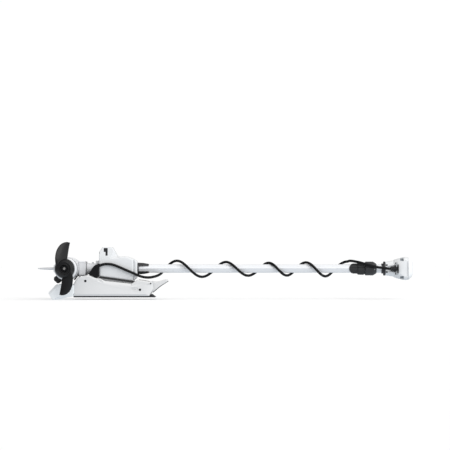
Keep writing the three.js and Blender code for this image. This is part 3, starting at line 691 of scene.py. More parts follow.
def nose_bridge():
    """The floor and front of the bow wedge, between its cheeks."""
    outline = [
        (-309, 23), (-300, 32), (-300, 9), (-290, -1), (-268, -4), (-225, 3), (-187, 6), (-187, 5.2),
        (-225, -2), (-267, -11), (-288, -11),
    ]
    half = COVER_IN - 0.2
    bridge = plate("nose_ramp_shell", [(*p, 0.3) for p in outline], -half, half, edge=0.1, corner=0)
    rib = ((-297, 8), (-296, 3), (-288, -9), (-268, -9), (-212, 1))
    ribs = [hull([(x, y + side, z) for x, z in rib for side in (-1.6, 1.6)]) for y in (-40, 0, 40)]
    return weld(bridge, *ribs)


for side in SIDES:
    cover = on_side(side_cover(), side, f"cover_shell_{side}")
    piece(cover, "mount", "white_plastic", shaded_white_cover, f"side_cover_{side}")
    for place, x, z in COVER_BOLTS:
        bolt = on_side(cover_bolt(x, z), side, f"{place}_bolt_head_{side}")
        piece(bolt, "mount", "steel", black_steel, f"{place}_cover_bolt_{side}")
    plug_profile = [(y - COVER_OUT, r) for y, r in ((12, 0), (12, 3.1), (3, 3.1), (3, 0))]
    plug = turned("pin_end", plug_profile, "y", PIN_PLUG, 32, corner=0.6)
    plug = on_side(plug, side, f"pedal_pin_plug_{side}")
    piece(plug, "mount", "black_plastic", satin_black)
    piece(softened(f"rest_pad_{side}", 1.2), "mount", "black_rubber", rubber, f"rest_pad_{side}")

nose = nose_bridge()
weld(nose, nose_cheek(), mirrored(nose_cheek()))
piece(nose, "mount", "pale_plastic", cool_grey, "nose_ramp")

gasket_low, gasket_high = box_mm("deck_gasket")
gasket_outline = oblong(gasket_low.x, gasket_high.x, gasket_low.y, gasket_high.y)
gasket = plate("gasket", gasket_outline, gasket_low.z, gasket_high.z, edge=1.2, corner=9, axis="z",
    steps=3)
piece(gasket, "mount", "black_rubber", rubber, "deck_gasket")
piece(softened("rear_foot", 1.2), "mount", "black_rubber", rubber, "rear_foot")
piece(softened("base_frame", 1.2), "mount", "white_paint", cast_paint, "base_frame")


def pin(name, node, radius, body="mount"):
    """A plain pin across the mount, with chamfered ends and a retaining groove near each."""
    low, high = box_mm(node)
    x, z = (low.x + high.x) / 2, (low.z + high.z) / 2
    half = high.y
    profile = [
        (-half, 0), (-half, radius - 1), (-half + 1, radius), (-half + 3.6, radius),
        (-half + 3.6, radius - 0.8), (-half + 4.8, radius - 0.8), (-half + 4.8, radius),
    ]
    profile += [(-along, r) for along, r in reversed(profile)]
    obj = turned(name, profile, "y", (x, z), 48, corner=0)
    return piece(obj, body, "steel", steel, node)


pin("tilt_pin", "pivot_pin", 7)
pin("pedal_pivot_pin", "pedal_pin", 4)
pin("latch_pivot_pin", "latch_pin", 4)

# ---- Foot pedal, release rod and latch ----
PEDAL = [
    (196, 24, 2), (205, 24, 3), (242, 54.6, 9), (282, 79.5, 4), (274, 89, 4), (242, 80.5, 14),
    (224.6, 75, 8), (205, 79, 5), (194, 79, 4), (190, 69.7, 4), (194, 52, 6),
]
PEDAL_HALF = box_mm("foot_pedal")[1].y
PEDAL_PIVOT = (199.4, 69.7)


TREAD_START = (229, 76.4)
TREAD_RIBS, TREAD_PITCH, TREAD_SLOPE = 6, 7.6, 0.272


def foot_pedal():
    """The pedal, with a ribbed tread and lightening pockets under it."""
    pedal = plate("pedal", PEDAL, -PEDAL_HALF, PEDAL_HALF, edge=3, corner=4)
    ribs = []
    for k in range(TREAD_RIBS):
        x = TREAD_START[0] + TREAD_PITCH * k
        z = TREAD_START[1] + TREAD_SLOPE * (x - TREAD_START[0])
        rib = brick(x - 1.5, x + 1.5, -PEDAL_HALF + 9, PEDAL_HALF - 9, z - 3, z + 1.9, edge=1.1)
        ribs.append(moved(rib, about("Y", -15, (x, 0, z))))
    weld(pedal, *ribs)
    pockets = [brick(213, 238, y - 13, y + 13, 36, 60) for y in (-32, 0, 32)]
    for pocket in pockets:
        moved(pocket, about("Y", -38, (226, 0, 50)) @ Matrix.Translation((0.004, 0, -0.012)))
    bore = bar(-90, 90, 4.3, "y", PEDAL_PIVOT, 40)
    return carve(pedal, bore, *pockets)


piece(foot_pedal(), "pedal", "white_plastic", shaded_white_cover, "foot_pedal")
# A black strip along the pedal's underside: partly a rubber sole, partly painted shade under the pedal's
# edge.
sole_outline = [(206, 22.5), (243, 53), (281.5, 78), (280.5, 79.5), (242, 55.5), (206, 25.5)]
sole = plate("pedal_sole_painted_shade", sole_outline, -PEDAL_HALF + 1.5, PEDAL_HALF - 1.5, edge=0.8, corner=0)
piece(sole, "pedal", "black_rubber", rubber)


def torsion_spring():
    """A little over two close turns of wire round the pedal's pin."""
    low, high = box_mm("pedal_spring")
    wire = 0.85
    turns = 2.3
    middle_r = (high.x - low.x) / 2 - wire
    steps = 40  # to a turn
    points = []
    for k in range(int(steps * turns) + 1):
        angle = 2 * math.pi * k / steps
        y = low.y + wire + (high.y - low.y - 2 * wire) * k / (steps * turns)
        x, z = middle_r * math.cos(angle), middle_r * math.sin(angle)
        points.append((PEDAL_PIVOT[0] + x, y, PEDAL_PIVOT[1] + z))
    return tube("pedal_return_spring", points, wire, 10)


piece(torsion_spring(), "mount", "steel", steel, "pedal_spring")
rod_low, rod_high = box_mm("release_rod")
push_rod_profile = [
    (rod_low.x, 0), (rod_low.x, 2.2), (rod_low.x + 1, 3), (rod_high.x - 2.5, 3), (rod_high.x, 1.4),
    (rod_high.x, 0),
]
push_rod = turned("push_rod", push_rod_profile, "x", (0, (rod_low.z + rod_high.z) / 2), 40, corner=0.4)
piece(push_rod, "rod", "steel", steel, "release_rod")
piece(softened("latch_hook", 0.9), "latch", "steel", steel, "latch_hook")

# ---- Tilt arm and steering housing ----
piece(softened("tilt_arm", 1.4), "tilt_arm", "aluminium", aluminium, "tilt_arm")

BODY = [
    (-60, 103.2, 5), (-60, 200, 4), (35, 200, 3), (38, 203, 6), (77, 203, 18), (97, 196, 16),
    (112.5, 190, 4), (112.5, 79.2, 3),
]
TOWER = [
    (-60, 120, 1), (-60, 224, 6), (-44, 249, 6), (4, 249.5, 7), (29, 206, 10), (34, 196, 1), (34, 120, 1),
]
WINDOW = [
    (-37, 244.5, 2.5), (-17, 244.5, 2.5), (-17, 206, 2.5), (-28, 206, 2.5), (-28, 225, 2), (-37, 225, 2),
]
FLANK_FOOT, FLANK_LEAN = 193, 12 / 57  # the tower's flanks lean in above this height


def leaned(obj):
    """Draws an object on the near side in above the flank's foot, so that it follows the tower's face."""
    for vert in obj.data.vertices:
        if vert.co.y < -1 * MM:
            vert.co.y += max(0, vert.co.z - FLANK_FOOT * MM) * FLANK_LEAN
    return obj


def sliced(obj, heights):
    """Adds a ring of vertices at each height."""
    with reshaping(obj.data) as work:
        for z in heights:
            geometry = work.verts[:] + work.edges[:] + work.faces[:]
            bmesh.ops.bisect_plane(work, geom=geometry, plane_co=(0, 0, z * MM), plane_no=(0, 0, 1))
    return obj


def housing_half(side):
    """Half of the steering housing: a full-bellied body and a faceted tower on leaning flanks."""
    face = -HOUSING_HALF
    body = sliced(plate("body", BODY, face, -0.15, edge=(9, 0.3), corner=4), range(84, 202, 9))
    for vert in body.data.vertices:
        z = vert.co.z / MM
        waist = 1 - 0.12 * max(0, (158 - z) / 79) ** 1.5 - 0.05 * max(0, (z - 172) / 31) ** 2
        vert.co.y *= waist if vert.co.y < -1 * MM else 1
    tower = plate("tool", TOWER, face + 0.6, -0.15, edge=(3.5, 0.3), corner=5)
    leaned(sliced(tower, (160, FLANK_FOOT, 215)))
    for vert in tower.data.vertices:
        drawn = max(0, (165 - vert.co.z / MM) / 45) * 12 * MM
        vert.co.y += drawn if vert.co.y < -1 * MM else 0
    corner = ((-3, face - 1), (40, face - 1), (40, -44), (-3, face + 0.8))
    right_facet = hull([(x, y, z) for z in (100, 262) for x, y in corner])
    corner = ((-64, face - 1), (-50, face - 1), (-64, -50))
    left_facet = hull([(x, y, z) for z in (214, 262) for x, y in corner])
    carve(tower, right_facet)
    weld(body, tower)
    outline = [
        (-53, 109), (-53, 221), (-41, 243), (1, 243), (24, 202), (32, 196), (76, 196), (96, 186),
        (105.5, 182), (105.5, 86),
    ]
    inside = plate("tool", outline, -44, 1, edge=0.1, corner=0)
    bore = bar(-70, 120, 30, "x", SHAFT_LINE, 64)
    tools = [inside, bore, left_facet]
    if side == "near":
        tools.append(leaned(plate("tool", WINDOW, face - 3, face + 2.6, edge=0.1, corner=2)))
    return carve(body, *tools)


for side in SIDES:
    half = on_side(housing_half(side), side, f"housing_shell_{side}")
    piece(half, "tilt_arm", "white_plastic", shaded_white_hood, f"housing_{side}", crease=30)

pane = plate("tower_window", inset(WINDOW, 0.35), -HOUSING_HALF + 1, -HOUSING_HALF + 2.4, edge=0.4,
    corner=2, steps=2)
piece(leaned(pane), "tilt_arm", "dark_window", window, "status_window")


def end_cap():
    cap_half = box_mm("housing_end_cap")[1].y
    outline = [(112.8, 86, 2), (112.8, 189, 2), (125, 180, 6), (129, 172, 5), (129, 110, 6), (124, 94, 6)]
    cap = plate("end_cap", outline, -cap_half, cap_half, edge=6, corner=3)
    bore = bar(100, 140, 30, "x", SHAFT_LINE, 64)
    sides = ((-70, -cap_half + 0.8), (cap_half - 0.8, 70))
    seam = [brick(117.5, 118.3, y0, y1, 80, 200) for y0, y1 in sides]
    return carve(cap, bore, *seam)


piece(end_cap(), "tilt_arm", "white_plastic", shaded_white_hood, "housing_end_cap")
strip_low, strip_high = box_mm("housing_seal")
strip_outline = [
    (strip_low.x, 96.2, 2.5), (strip_low.x, 102.9, 2.5), (strip_high.x, 78.9, 3), (strip_high.x, 72.2, 3),
]
strip = plate("seal_strip", strip_outline, strip_low.y, strip_high.y, edge=1.8, corner=2.5, steps=3)
piece(strip, "tilt_arm", "black_rubber", rubber, "housing_seal")

BOOT = [
    (-111, 114, 3), (-94, 141, 8), (-84, 154.5, 8), (-74, 161, 8), (-57.5, 165.5, 4), (-57.5, 151.5, 4),
    (-58.5, 135, 2), (-60.4, 98, 3), (-68, 97.5, 5), (-80, 99.5, 8), (-94, 106, 6), (-104, 110, 4),
]


def cable_boot():
    """The wedge-shaped strain relief, with rows of moulded pips on its outer face and a hooded exit."""
    boot = plate("boot", BOOT, -88, -46, edge=(4, 1.5), corner=4)
    clear = brick(-60.3, 0, -HOUSING_HALF - 0.3, 0, 90, 170)
    carve(boot, clear)
    hood = turned("tool", [(-66, 0), (-66, 9), (-56.9, 8), (-56.9, 0)], "x", (-79, 158.4), 40, corner=0.8)
    weld(boot, hood)
    pip = [(-86, 0), (-86, 2.1), (-88.2, 1.5), (-88.7, 0)]
    pips = []
    pitch = 7.2
    for row in range(8):
        for column in range(9):
            x = -103 + column * pitch + (row % 2) * pitch / 2
            z = 106.5 + row * pitch * 0.87
            slope = 114 + (x + 111) * 1.55
            if z > slope - 8 or x > -62.5 or z < 104 or (x < -90 and z < 111):
                continue
            pips.append(turned("tool", pip, "y", (x, z), 10, corner=0.3))
    return weld(boot, *pips)


piece(cable_boot(), "tilt_arm", "black_rubber", knurled, "cable_boot")
sensor_outline = [(-79, 166, 2), (-76, 182, 2.5), (-60.3, 182, 1.5), (-60.3, 166, 1.5)]
sensor = plate("stowed_switch", sensor_outline, -45, -28, edge=2, corner=2)
button = turned("tool", [(-82, 0), (-82, 3), (-76, 3), (-76, 0)], "x", (-36.5, 173.5), 24, corner=0.6)
weld(sensor, moved(button, Matrix.Translation((0.004, 0, 0))))
piece(sensor, "tilt_arm", "white_plastic", white, "stow_sensor")


def bush(name, node, inner):
    low, high = box_mm(node)
    outer = (high.z - low.z) / 2
    profile = [(low.x, inner), (low.x, outer), (high.x, outer), (high.x, inner)]
    return piece(about_shaft(name, profile, 72, corner=0.7), "tilt_arm", "bronze", bronze, node)


bush("bow_bearing", "bow_bush", 26.2)
bush("rear_bearing", "rear_bush", 26.2)
can_low, can_high = box_mm("steer_motor")
can_z = (can_low.z + can_high.z) / 2
steer_can_profile = [
    (can_low.x, 0), (can_low.x, 15.5), (can_low.x + 3, 18), (can_low.x + 9, 18), (can_low.x + 9, 17.3),
    (can_low.x + 10.5, 17.3), (can_low.x + 10.5, 18), (can_high.x - 2, 18), (can_high.x, 16.5),
    (can_high.x, 0),
]
steer_can = turned("steering_drive_motor", steer_can_profile, "x", (0, can_z), 64, corner=0.6)
piece(steer_can, "tilt_arm", "steel", steel, "steer_motor")


def populated_board(name, node, parts, up):
    """A circuit board with its larger parts standing on one face."""
    low, high = box_mm(node)
    if up == "z":
        outline, bottom, top = oblong(low.x, high.x, low.y, high.y), low.z, high.z
        chips = [brick(x, x + w, y, y + d, top - 1, top) for x, y, w, d in parts]
    else:
        outline, bottom, top = oblong(low.y, high.y, low.z, high.z), low.x, high.x
        chips = [brick(top - 1, top, x, x + w, y, y + d) for x, y, w, d in parts]
    board = plate(name, outline, bottom, top - 0.9, edge=0.3, corner=2, axis=up, steps=2)
    return weld(board, *chips)


CONTROL_CHIPS = [(36, -36, 12, 12), (54, -20, 18, 18), (36, 8, 9, 14), (76, 12, 12, 20), (78, -34, 8, 8)]
HEAD_CHIPS = [(-30, AXIS_Z - 12, 14, 14), (-6, AXIS_Z - 16, 9, 9), (12, AXIS_Z - 2, 16, 12)]
control_circuit = populated_board("control_circuit", "control_board", CONTROL_CHIPS, "z")
piece(control_circuit, "tilt_arm", "circuit", circuit, "control_board")
head_circuit = populated_board("head_circuit", "head_board", HEAD_CHIPS, "x")
piece(head_circuit, "shaft", "circuit", circuit, "head_board")
piece(softened("steer_pinion", 0.25, 1), "pinion", "steel", steel, "steer_pinion")
piece(softened("steering_gear", 0.3, 1), "steering", "bronze", bronze, "steering_gear")


# ---- Steering sleeve and exit clamp ----
SLEEVE_BORE = SHAFT_R + 0.6


def steering_sleeve():
    bore, outer, flange = SLEEVE_BORE, 25.5, 28
    profile = [(-121, bore), (-121, flange), (-112, flange), (-112, outer), (129, outer), (129, bore)]
    sleeve = about_shaft("sleeve", profile, 96, corner=0.8)
    key = brick(-100, -91, -7, 7, AXIS_Z + outer - 1.5, AXIS_Z + 33, edge=1)
    return weld(sleeve, key)


piece(steering_sleeve(), "steering", "white_plastic", cast_paint, "steering_sleeve")


def exit_clamp():
    """A collar with two jaws that taper along the shaft, and three ribs across them."""
    bore = SLEEVE_BORE
    profile = [(129.3, bore), (129.3, 29), (134.5, 29), (160, 27.5), (185, 23), (185, bore)]
    clamp = about_shaft("shaft_clamp", profile, 96, corner=1)
    window = brick(134.5, 190, -40, 40, AXIS_Z - 14, AXIS_Z + 13)
    carve(clamp, window)
    ribs = []
    for x, r in ((140, 29.4), (147, 28.9), (154, 28.5)):
        profile = [(x, bore + 2), (x, r), (x + 2.4, r), (x + 2.4, bore + 2)]
        ribs.append(about_shaft("tool", profile, 96, corner=0.5))
    for rib in ribs:
        carve(rib, brick(134.5, 190, -40, 40, AXIS_Z - 14.2, AXIS_Z + 13.2))
    return weld(clamp, *ribs)


piece(exit_clamp(), "steering", "black_plastic", satin_black, "exit_clamp")


# ---- Shaft and depth collar ----
def shaft():
    """The composite shaft: flat facets meeting at fine grooves on both sides, and a plain bore."""
    low, high = shaft_low.x, shaft_high.x
    right_side = []
    groove = 1.5
    for degrees in (90, 76, 62, 48, 34):
        right_side.append((degrees, SHAFT_R))
    right_side += [
        (31.5, SHAFT_R - groove / 2), (29, SHAFT_R), (4, SHAFT_R), (0.8, SHAFT_R - groove),
        (-2.4, SHAFT_R), (-52, SHAFT_R), (-74, SHAFT_R),
    ]
    left_side = [(180 - degrees, r) for degrees, r in reversed(right_side)]
    section = right_side + [(-90, SHAFT_R)] + left_side[:-1]
    rings = []
    for x, drawn in ((low, 1.0), (low + 1, 0), (high - 1, 0), (high, 1.0)):
        ring = []
        for degrees, r in section:
            angle = math.radians(degrees)
            ring.append((x, -(r - drawn) * math.cos(angle), AXIS_Z + (r - drawn) * math.sin(angle)))
        rings.append(ring)
    outer = skin("shaft_profile", rings)
    bore = bar(low - 5, high + 5, SHAFT_R - 3, "x", SHAFT_LINE, 48)
    return carve(outer, bore)


piece(shaft(), "shaft", "white_plastic", white_shaft, "shaft_tube", crease=9)


COLLAR_BORE = SHAFT_R + 0.3
COLLAR_SCREW = (1311, AXIS_Z - 5)
SPLIT = (AXIS_Z + 3.6, AXIS_Z + 5.2)  # the split line along the cuff and the collar


def collar_cuff():
    """The depth collar's cuff: a thin sleeve with a tongue on each side, then a thicker split band."""
    bore = COLLAR_BORE
    profile = [
        (1184, bore, 0.3), (1184, 23.4, 1.5), (1204, 25.3, 4), (1224, 25.5, 2), (1230, 31, 2),
        (1257, 31.8, 1.5), (1258.5, 29, 1), (1263, 29, 1), (1263, bore, 0.3),
    ]
    cuff = about_shaft("cuff", profile, 96, corner=1.5)
    tongue = [
        (1184.4, -6, 4), (1189, -16, 8), (1198, -23, 8), (1206, -26, 1), (1206, -45, 1), (1290, -45, 1),
        (1290, 45, 1), (1206, 45, 1), (1206, 26, 1), (1198, 23, 8), (1189, 16, 8), (1184.4, 6, 4),
    ]
    outline = [(x, AXIS_Z + z, r) for x, z, r in tongue]
    combine(cuff, "INTERSECT", [plate("tool", outline, -60, 60, edge=0.1)])
    cuts = [brick(1180, 1270, y0, y1, *SPLIT) for y0, y1 in ((-40, -23), (23, 40))]
    return carve(cuff, *cuts)


def depth_collar():
    """The clamping half of the depth collar, split along its sides, with a screw in its bevel."""
    bore = COLLAR_BORE
    profile = [
        (1264, bore, 0.3), (1264, 31.5, 1), (1268, 34.6, 2), (1304, 34.6, 3), (1317, 27, 2),
        (1321, 23.5, 1), (1321, bore, 0.3),
    ]
    collar = about_shaft("collar", profile, 96, corner=1.8)
    cuts = [brick(1260, 1330, y0, y1, *SPLIT) for y0, y1 in ((-40, -29), (29, 40))]
    cuts.append(bar(-40, -25, 3, "y", COLLAR_SCREW, 24))
    return carve(collar, *cuts)


piece(collar_cuff(), "shaft", "black_rubber", rubber, "collar_cuff")
piece(depth_collar(), "shaft", "black_plastic", satin_black, "depth_collar")
collar_screw_profile = [(-29.4, 0), (-29.4, 2.2), (-28.6, 2.7), (-25.2, 2.7), (-25.2, 0)]
collar_screw = turned("collar_screw", collar_screw_profile, "y", COLLAR_SCREW, 24, corner=0.3)
piece(collar_screw, "shaft", "steel", steel)
lever_points = [(39, -17, 2), (46, -17, 3), (46.5, 8, 6), (43, 20, 2), (39, 20, 1.5), (39.5, 0, 3)]
lever_outline = [(y, AXIS_Z + z, r) for y, z, r in lever_points]
lever = plate("clamp_lever", lever_outline, 1276, 1300, edge=2, corner=2, axis="x")
grips = [brick(1279, 1297, 44, 52, AXIS_Z + z - 0.7, AXIS_Z + z + 0.7) for z in (-12, -8, -4, 0)]
piece(carve(lever, *grips), "lever", "black_plastic", satin_black, "collar_clamp_lever")


# ---- Propulsion unit ----
def motor_casing():
    """The drawn motor tube, with a shallow bead near each end."""
    inner, end = MOTOR_R - 5, CASING_HALF
    profile = [
        (-end, inner), (-end, MOTOR_R), (-end + 10, MOTOR_R), (-end + 10, MOTOR_R - 0.8),
        (-end + 13, MOTOR_R - 0.8), (-end + 13, MOTOR_R),
    ]
    profile += [(-along, r) for along, r in reversed(profile)]
    return about_motor("motor_tube", profile, corner=0.5)


BELL_END = box_mm("end_bell")[0].y
BELL_SEAM = BELL_END + 18
BELL_SCREWS = round_motor(41, 4, first=45)


def end_bell():
    """The propeller-side end bell: a rounded shoulder, a recessed face and a seal land for the shaft."""
    profile = [
        (BELL_SEAM, 9, 0), (BELL_SEAM, MOTOR_R - 1.2), (BELL_END + 9, MOTOR_R, 8),
        (BELL_END, MOTOR_R - 9, 7), (BELL_END, 24, 1), (BELL_END + 3, 22, 1), (BELL_END + 3, 14, 1),
        (BELL_END + 1, 13, 0.5), (BELL_END + 1, 9, 0),
    ]
    bell = about_motor("bell", profile, corner=1)
    return carve(bell, *(bar(BELL_END - 2, BELL_END + 2.5, 4.4, "y", centre, 24)
        for centre in BELL_SCREWS))


piece(motor_casing(), "shaft", "white_paint", white_paint, "motor_casing")
piece(end_bell(), "shaft", "white_paint", cast_paint, "end_bell", crease=40)
band_profile = [
    (BELL_SEAM + 0.2, MOTOR_R - 6), (BELL_SEAM + 0.2, MOTOR_R - 0.6), (-CASING_HALF - 0.2, MOTOR_R - 0.6),
    (-CASING_HALF - 0.2, MOTOR_R - 6),
]
band = about_motor("bell_seal_band", band_profile, corner=0.8)
piece(band, "shaft", "black_rubber", rubber)
for number, centre in enumerate(BELL_SCREWS, 1):
    head = [
        (BELL_END + 2.4, 0), (BELL_END + 2.4, 3.9), (BELL_END + 0.8, 3.9), (BELL_END, 3), (BELL_END, 0),
    ]
    screw = socket_screw(head, (BELL_END - 1, BELL_END + 1.5, 1.8), "y", centre, 32, 0.4)
    screw.name = f"bell_screw_{number}"
    piece(screw, "shaft", "steel", steel)


def nose_cone():
    """The smooth closing cone at the motor's leading end, with a chamfered edge at its seam."""
    back, tip = CASING_HALF + 0.3, box_mm("nose_cone")[1].y
    length = tip - back
    steps = 28
    outer = []
    for k in range(steps + 1):
        angle = math.pi / 2 * k / steps
        outer.append((back + length * math.sin(angle), MOTOR_R * math.cos(angle)))
    outer[-1] = (tip, 0)
    outer[0] = (back, MOTOR_R - 0.9)
    outer.insert(1, (back + 1.5, MOTOR_R - 0.1))
    inner = [(back + 1, 0), (back, MOTOR_R - 8)]
    return about_motor("leading_cone", inner + outer, corner=0)


piece(nose_cone(), "shaft", "white_paint", white_paint, "nose_cone")


def around_motor(extra=0.3):
    r = MOTOR_R + extra
    return bar(-140, 140, r, "y", MOTOR_LINE, 128)


def motor_neck():
    """The cast saddle: a barrel with a flange round the motor, and a square clamp block."""
    profile = [(-182, 0), (-182, 40), (-167, 40, 2), (-162, 34, 2.5), (-121, 34, 2), (-121, 0)]
    neck = about_shaft("saddle", profile, 96, corner=2)
    outline = [
        (-30, 104.5, 4), (30, 104.5, 4), (36, 112, 3), (36, 173, 3), (30, 180.5, 4), (-30, 180.5, 4),
        (-36, 173, 3), (-36, 112, 3),
    ]
    block = plate("tool", outline, -162, -130, edge=2.5, corner=3, axis="x")
    weld(neck, block)
    spigot = bar(-130, -110, SHAFT_R + 0.3, "x", SHAFT_LINE, 64)
    groove = about_shaft("tool", [(-128.5, 32.6), (-128.5, 40), (-127, 40), (-127, 32.6)], 96, corner=0)
    pad_seat = brick(-160, -132, -20, 20, 174.6, 190)
    strap_line = brick(-163, -129, -40, -33.6, 171, 173.4)
    return carve(neck, around_motor(), spigot, groove, pad_seat, strap_line)


piece(motor_neck(), "shaft", "white_paint", cast_paint, "motor_neck")
# Black rubber rings at the neck's ends: partly seals, partly painted shade in the gaps there.
for name, near, far in (("motor", -166.4, -163.4), ("shaft", -126.8, -123.6)):
    profile = [(near, 30), (near, 34.6), (far, 34.6), (far, 30)]
    ring = about_shaft(f"neck_seal_and_shade_{name}", profile, 96, corner=0.8)
    piece(ring, "shaft", "black_rubber", rubber)
bumper = brick(-159.6, -132.4, -19.6, 19.6, 174.8, 180.3, edge=1.5, name="neck_bumper")
piece(bumper, "shaft", "pale_plastic", trim_grey)


def skeg():
    """The fin ahead of the motor: a thin section that tapers to its tip, on a curved flange."""
    stations = [
        (-373, 17, 23, 3), (-370, 12, 26, 5), (-362, 6, 28.5, 7.5), (-350, -2, 34, 9.8),
        (-334, -14, 44, 11.8), (-318, -28, 54, 13), (-300, -34, 66, 14), (-282, -39, 79, 14.6),
        (-272, -39, 79, 14.6),
    ]
    rings = []
    for x, y0, y1, thick in stations:
        middle, half = (y0 + y1) / 2, (y1 - y0) / 2
        ring = []
        for angle in full_turn(48):
            c, s = math.cos(angle), math.sin(angle)
            along = math.copysign(abs(c) ** 0.8, c)
            up = math.copysign(abs(s) ** 0.75, s) * min(1, 2.6 * (1 - abs(along)) ** 0.62 + 0.001)
            ring.append((x, middle + half * along, AXIS_Z + thick / 2 * up))
        rings.append(ring)
    blade = skin("fin", rings)
    flange = plate("tool", oblong(-44, 84, AXIS_Z - 18, AXIS_Z + 18), -287, -266, edge=2, corner=7,
        axis="x")
    weld(blade, flange)
    return carve(blade, around_motor())


# The skeg is white moulding; it takes the greyer cast paint as painted shade.
piece(skeg(), "shaft", "white_plastic", cast_paint, "skeg")


def landing_shoe():
    """The grooved rubber block under the motor that meets the bow wedge."""
    outline = [(-287, 98, 4), (-287, 84, 4), (-268, 67, 5), (-250, 82, 3), (-236, 96, 2), (-262, 118, 2)]
    shoe = plate("shoe", outline, -32, 32, edge=3, corner=3)
    grooves = [brick(-292, -240, y - 1.3, y + 1.3, 60, 74) for y in (-20, -10, 0, 10, 20)]
    return carve(shoe, around_motor(), *grooves)


piece(landing_shoe(), "shaft", "black_rubber", rubber, "landing_shoe")


SLOT_COUNT = 12


def stator():
    low, high = box_mm("stator")
    inner = 40
    outer = (high.x - low.x) / 2
    profile = [(low.y, inner), (low.y, outer), (high.y, outer), (high.y, inner)]
    ring = about_motor("stator_stack", profile, corner=1)
    slot = (MOTOR_X - 3, MOTOR_X + 3, low.y - 1, high.y + 1, AXIS_Z + 38, AXIS_Z + 46)
    return carve(ring, *spaced(SLOT_COUNT, slot, "Y", MOTOR_MIDDLE))


piece(stator(), "shaft", "steel", laminations, "stator")

# ---- Propeller ----
HUB_FRONT, HUB_BACK = -215, -158
PROP_Y = (HUB_FRONT + HUB_BACK) / 2
DRIVE_PIN = (-163.5, AXIS_Z)
HUB_R = 48
ROOT_SLOPE, TIP_SLOPE = 0.62, 0.28
LEADING = [(-34, 4), (-54, 40), (-46, 130.5), (14, 130.5)]
TRAILING = [(8, 14), (14, 50), (17, 90), (26, 127)]
PROP_R = 132


def bezier(controls, t):
    weights = ((1 - t) ** 3, 3 * t * (1 - t) ** 2, 3 * t * t * (1 - t), t**3)
    return Vector((sum(w * c[i] for w, c in zip(weights, controls)) for i in (0, 1)))


def blade(name):
    """One swept blade: an aerofoil section that untwists and thins from root to tip."""
    rings = []
    steps, across = 34, 18
    for k in range(steps + 1):
        t = k / steps
        ahead, behind = bezier(LEADING, t), bezier(TRAILING, t)
        thick = 8.5 * (1 - t) ** 1.2 + 2.2
        camber = 4.5 * (1 - 0.5 * t)
        ring = []
        for half, order in ((1, range(across + 1)), (-1, range(across - 1, 0, -1))):
            for i in order:
                s = (1 - math.cos(math.pi * i / across)) / 2
                flat = ahead.lerp(behind, s)
                share = min(1, max(0, (flat.y - HUB_R) / (PROP_R - HUB_R)))
                slope = ROOT_SLOPE + share * (TIP_SLOPE - ROOT_SLOPE)
                body = thick / 2 * (4 * s * (1 - s)) ** 0.5 * (1.25 - 0.5 * s)
                bow = -camber * 4 * s * (1 - s)
                y = PROP_Y + slope * flat.x + bow + half * body
                ring.append((MOTOR_X + flat.x, y, AXIS_Z + flat.y))
        rings.append(ring)
    return skin(name, rings)


def propeller():
    """Two blades on a deep round hub whose face steps in to the nut."""
    front, back = HUB_FRONT, HUB_BACK
    profile = [
        (back, 8.3, 0), (back, 40, 1), (back + 0.1, HUB_R, 1), (-190, HUB_R, 8), (-205, 42.5, 8),
        (front, 33, 3.5), (front + 0.6, 30, 1), (front + 3.6, 27.5, 1), (front + 3.6, 22, 1),
        (front, 19.8, 1.2), (front + 0.4, 18.4, 1.2), (front + 13, 16.6, 2), (-196, 16.4, 2),
        (-196, 8.3, 0),
    ]
    hub = about_motor("two_blade_propeller", profile, corner=1)
    second = moved(blade("tool"), about("Y", 180, MOTOR_MIDDLE))
    weld(hub, blade("tool"), second)
    keyway = brick(MOTOR_X - 16, MOTOR_X + 16, -168.5, back + 1, AXIS_Z - 3.5, AXIS_Z + 3.5)
    return carve(hub, keyway)


piece(propeller(), "propeller", "black_composite", composite, "propeller", crease=38)


def propeller_nut():
    """A flanged hexagon lock nut with a domed collar round the shaft's end."""
    nut = plate("prop_lock_nut", round_motor(11, 6), -204.4, -197.2, edge=1, corner=1.2)
    washer = about_motor("tool", [(-199, 0), (-199, 13.6), (-197, 13.8), (-197, 0)], 64, corner=0.3)
    profile = [(-204, 0), (-205, 8.9), (-203, 10), (-199, 10), (-199, 0)]
    collar = about_motor("tool", profile, 64, corner=0.5)
    weld(nut, washer, collar)
    bore = bar(-220, -190, 8.6, "y", MOTOR_LINE, 48)
    return carve(nut, bore)


piece(propeller_nut(), "propeller", "steel", black_steel, "propeller_nut")


def armature():
    """The wound core on the propeller's shaft, with its slots and commutator."""
    profile = [
        (-203, 0), (-203, 6), (-201.5, 7.8), (-70, 8), (-70, 20), (-62, 24), (-62, 38.3), (62, 38.3),
        (62, 24), (68, 17), (84, 17), (84, 8), (100, 8), (100, 0),
    ]
    core = about_motor("wound_armature", profile, corner=0.6)
    slot = (MOTOR_X - 2, MOTOR_X + 2, -63, 63, AXIS_Z + 30, AXIS_Z + 40)
    slots = spaced(SLOT_COUNT, slot, "Y", MOTOR_MIDDLE)
    hole = bar(MOTOR_X - 15, MOTOR_X + 15, 3, "x", DRIVE_PIN, 24)
    return carve(core, hole, *slots)


piece(armature(), "propeller", "steel", laminations, "armature")
shear_pin_profile = [
    (MOTOR_X - 14, 0), (MOTOR_X - 14, 2), (MOTOR_X - 13.4, 2.6), (MOTOR_X + 13.4, 2.6), (MOTOR_X + 14, 2),
    (MOTOR_X + 14, 0),
]
shear_pin = turned("shear_pin", shear_pin_profile, "x", DRIVE_PIN, 32, corner=0)
piece(shear_pin, "propeller", "steel", steel, "drive_pin")


# ---- Control head ----
HEAD_BORE = SHAFT_R + 0.3
flange_profile = [(1346, HEAD_BORE), (1346, 25), (1356, 25), (1356, 35), (1365, 35), (1365, HEAD_BORE)]
flange = about_shaft("head_clamp_flange", flange_profile, corner=1.2)
notches = spaced(12, (1355, 1360, 32.5, 40, AXIS_Z - 2, AXIS_Z + 2), "X", SHAFT_MIDDLE, first=15)
piece(carve(flange, *notches), "shaft", "black_plastic", satin_black, "head_flange")

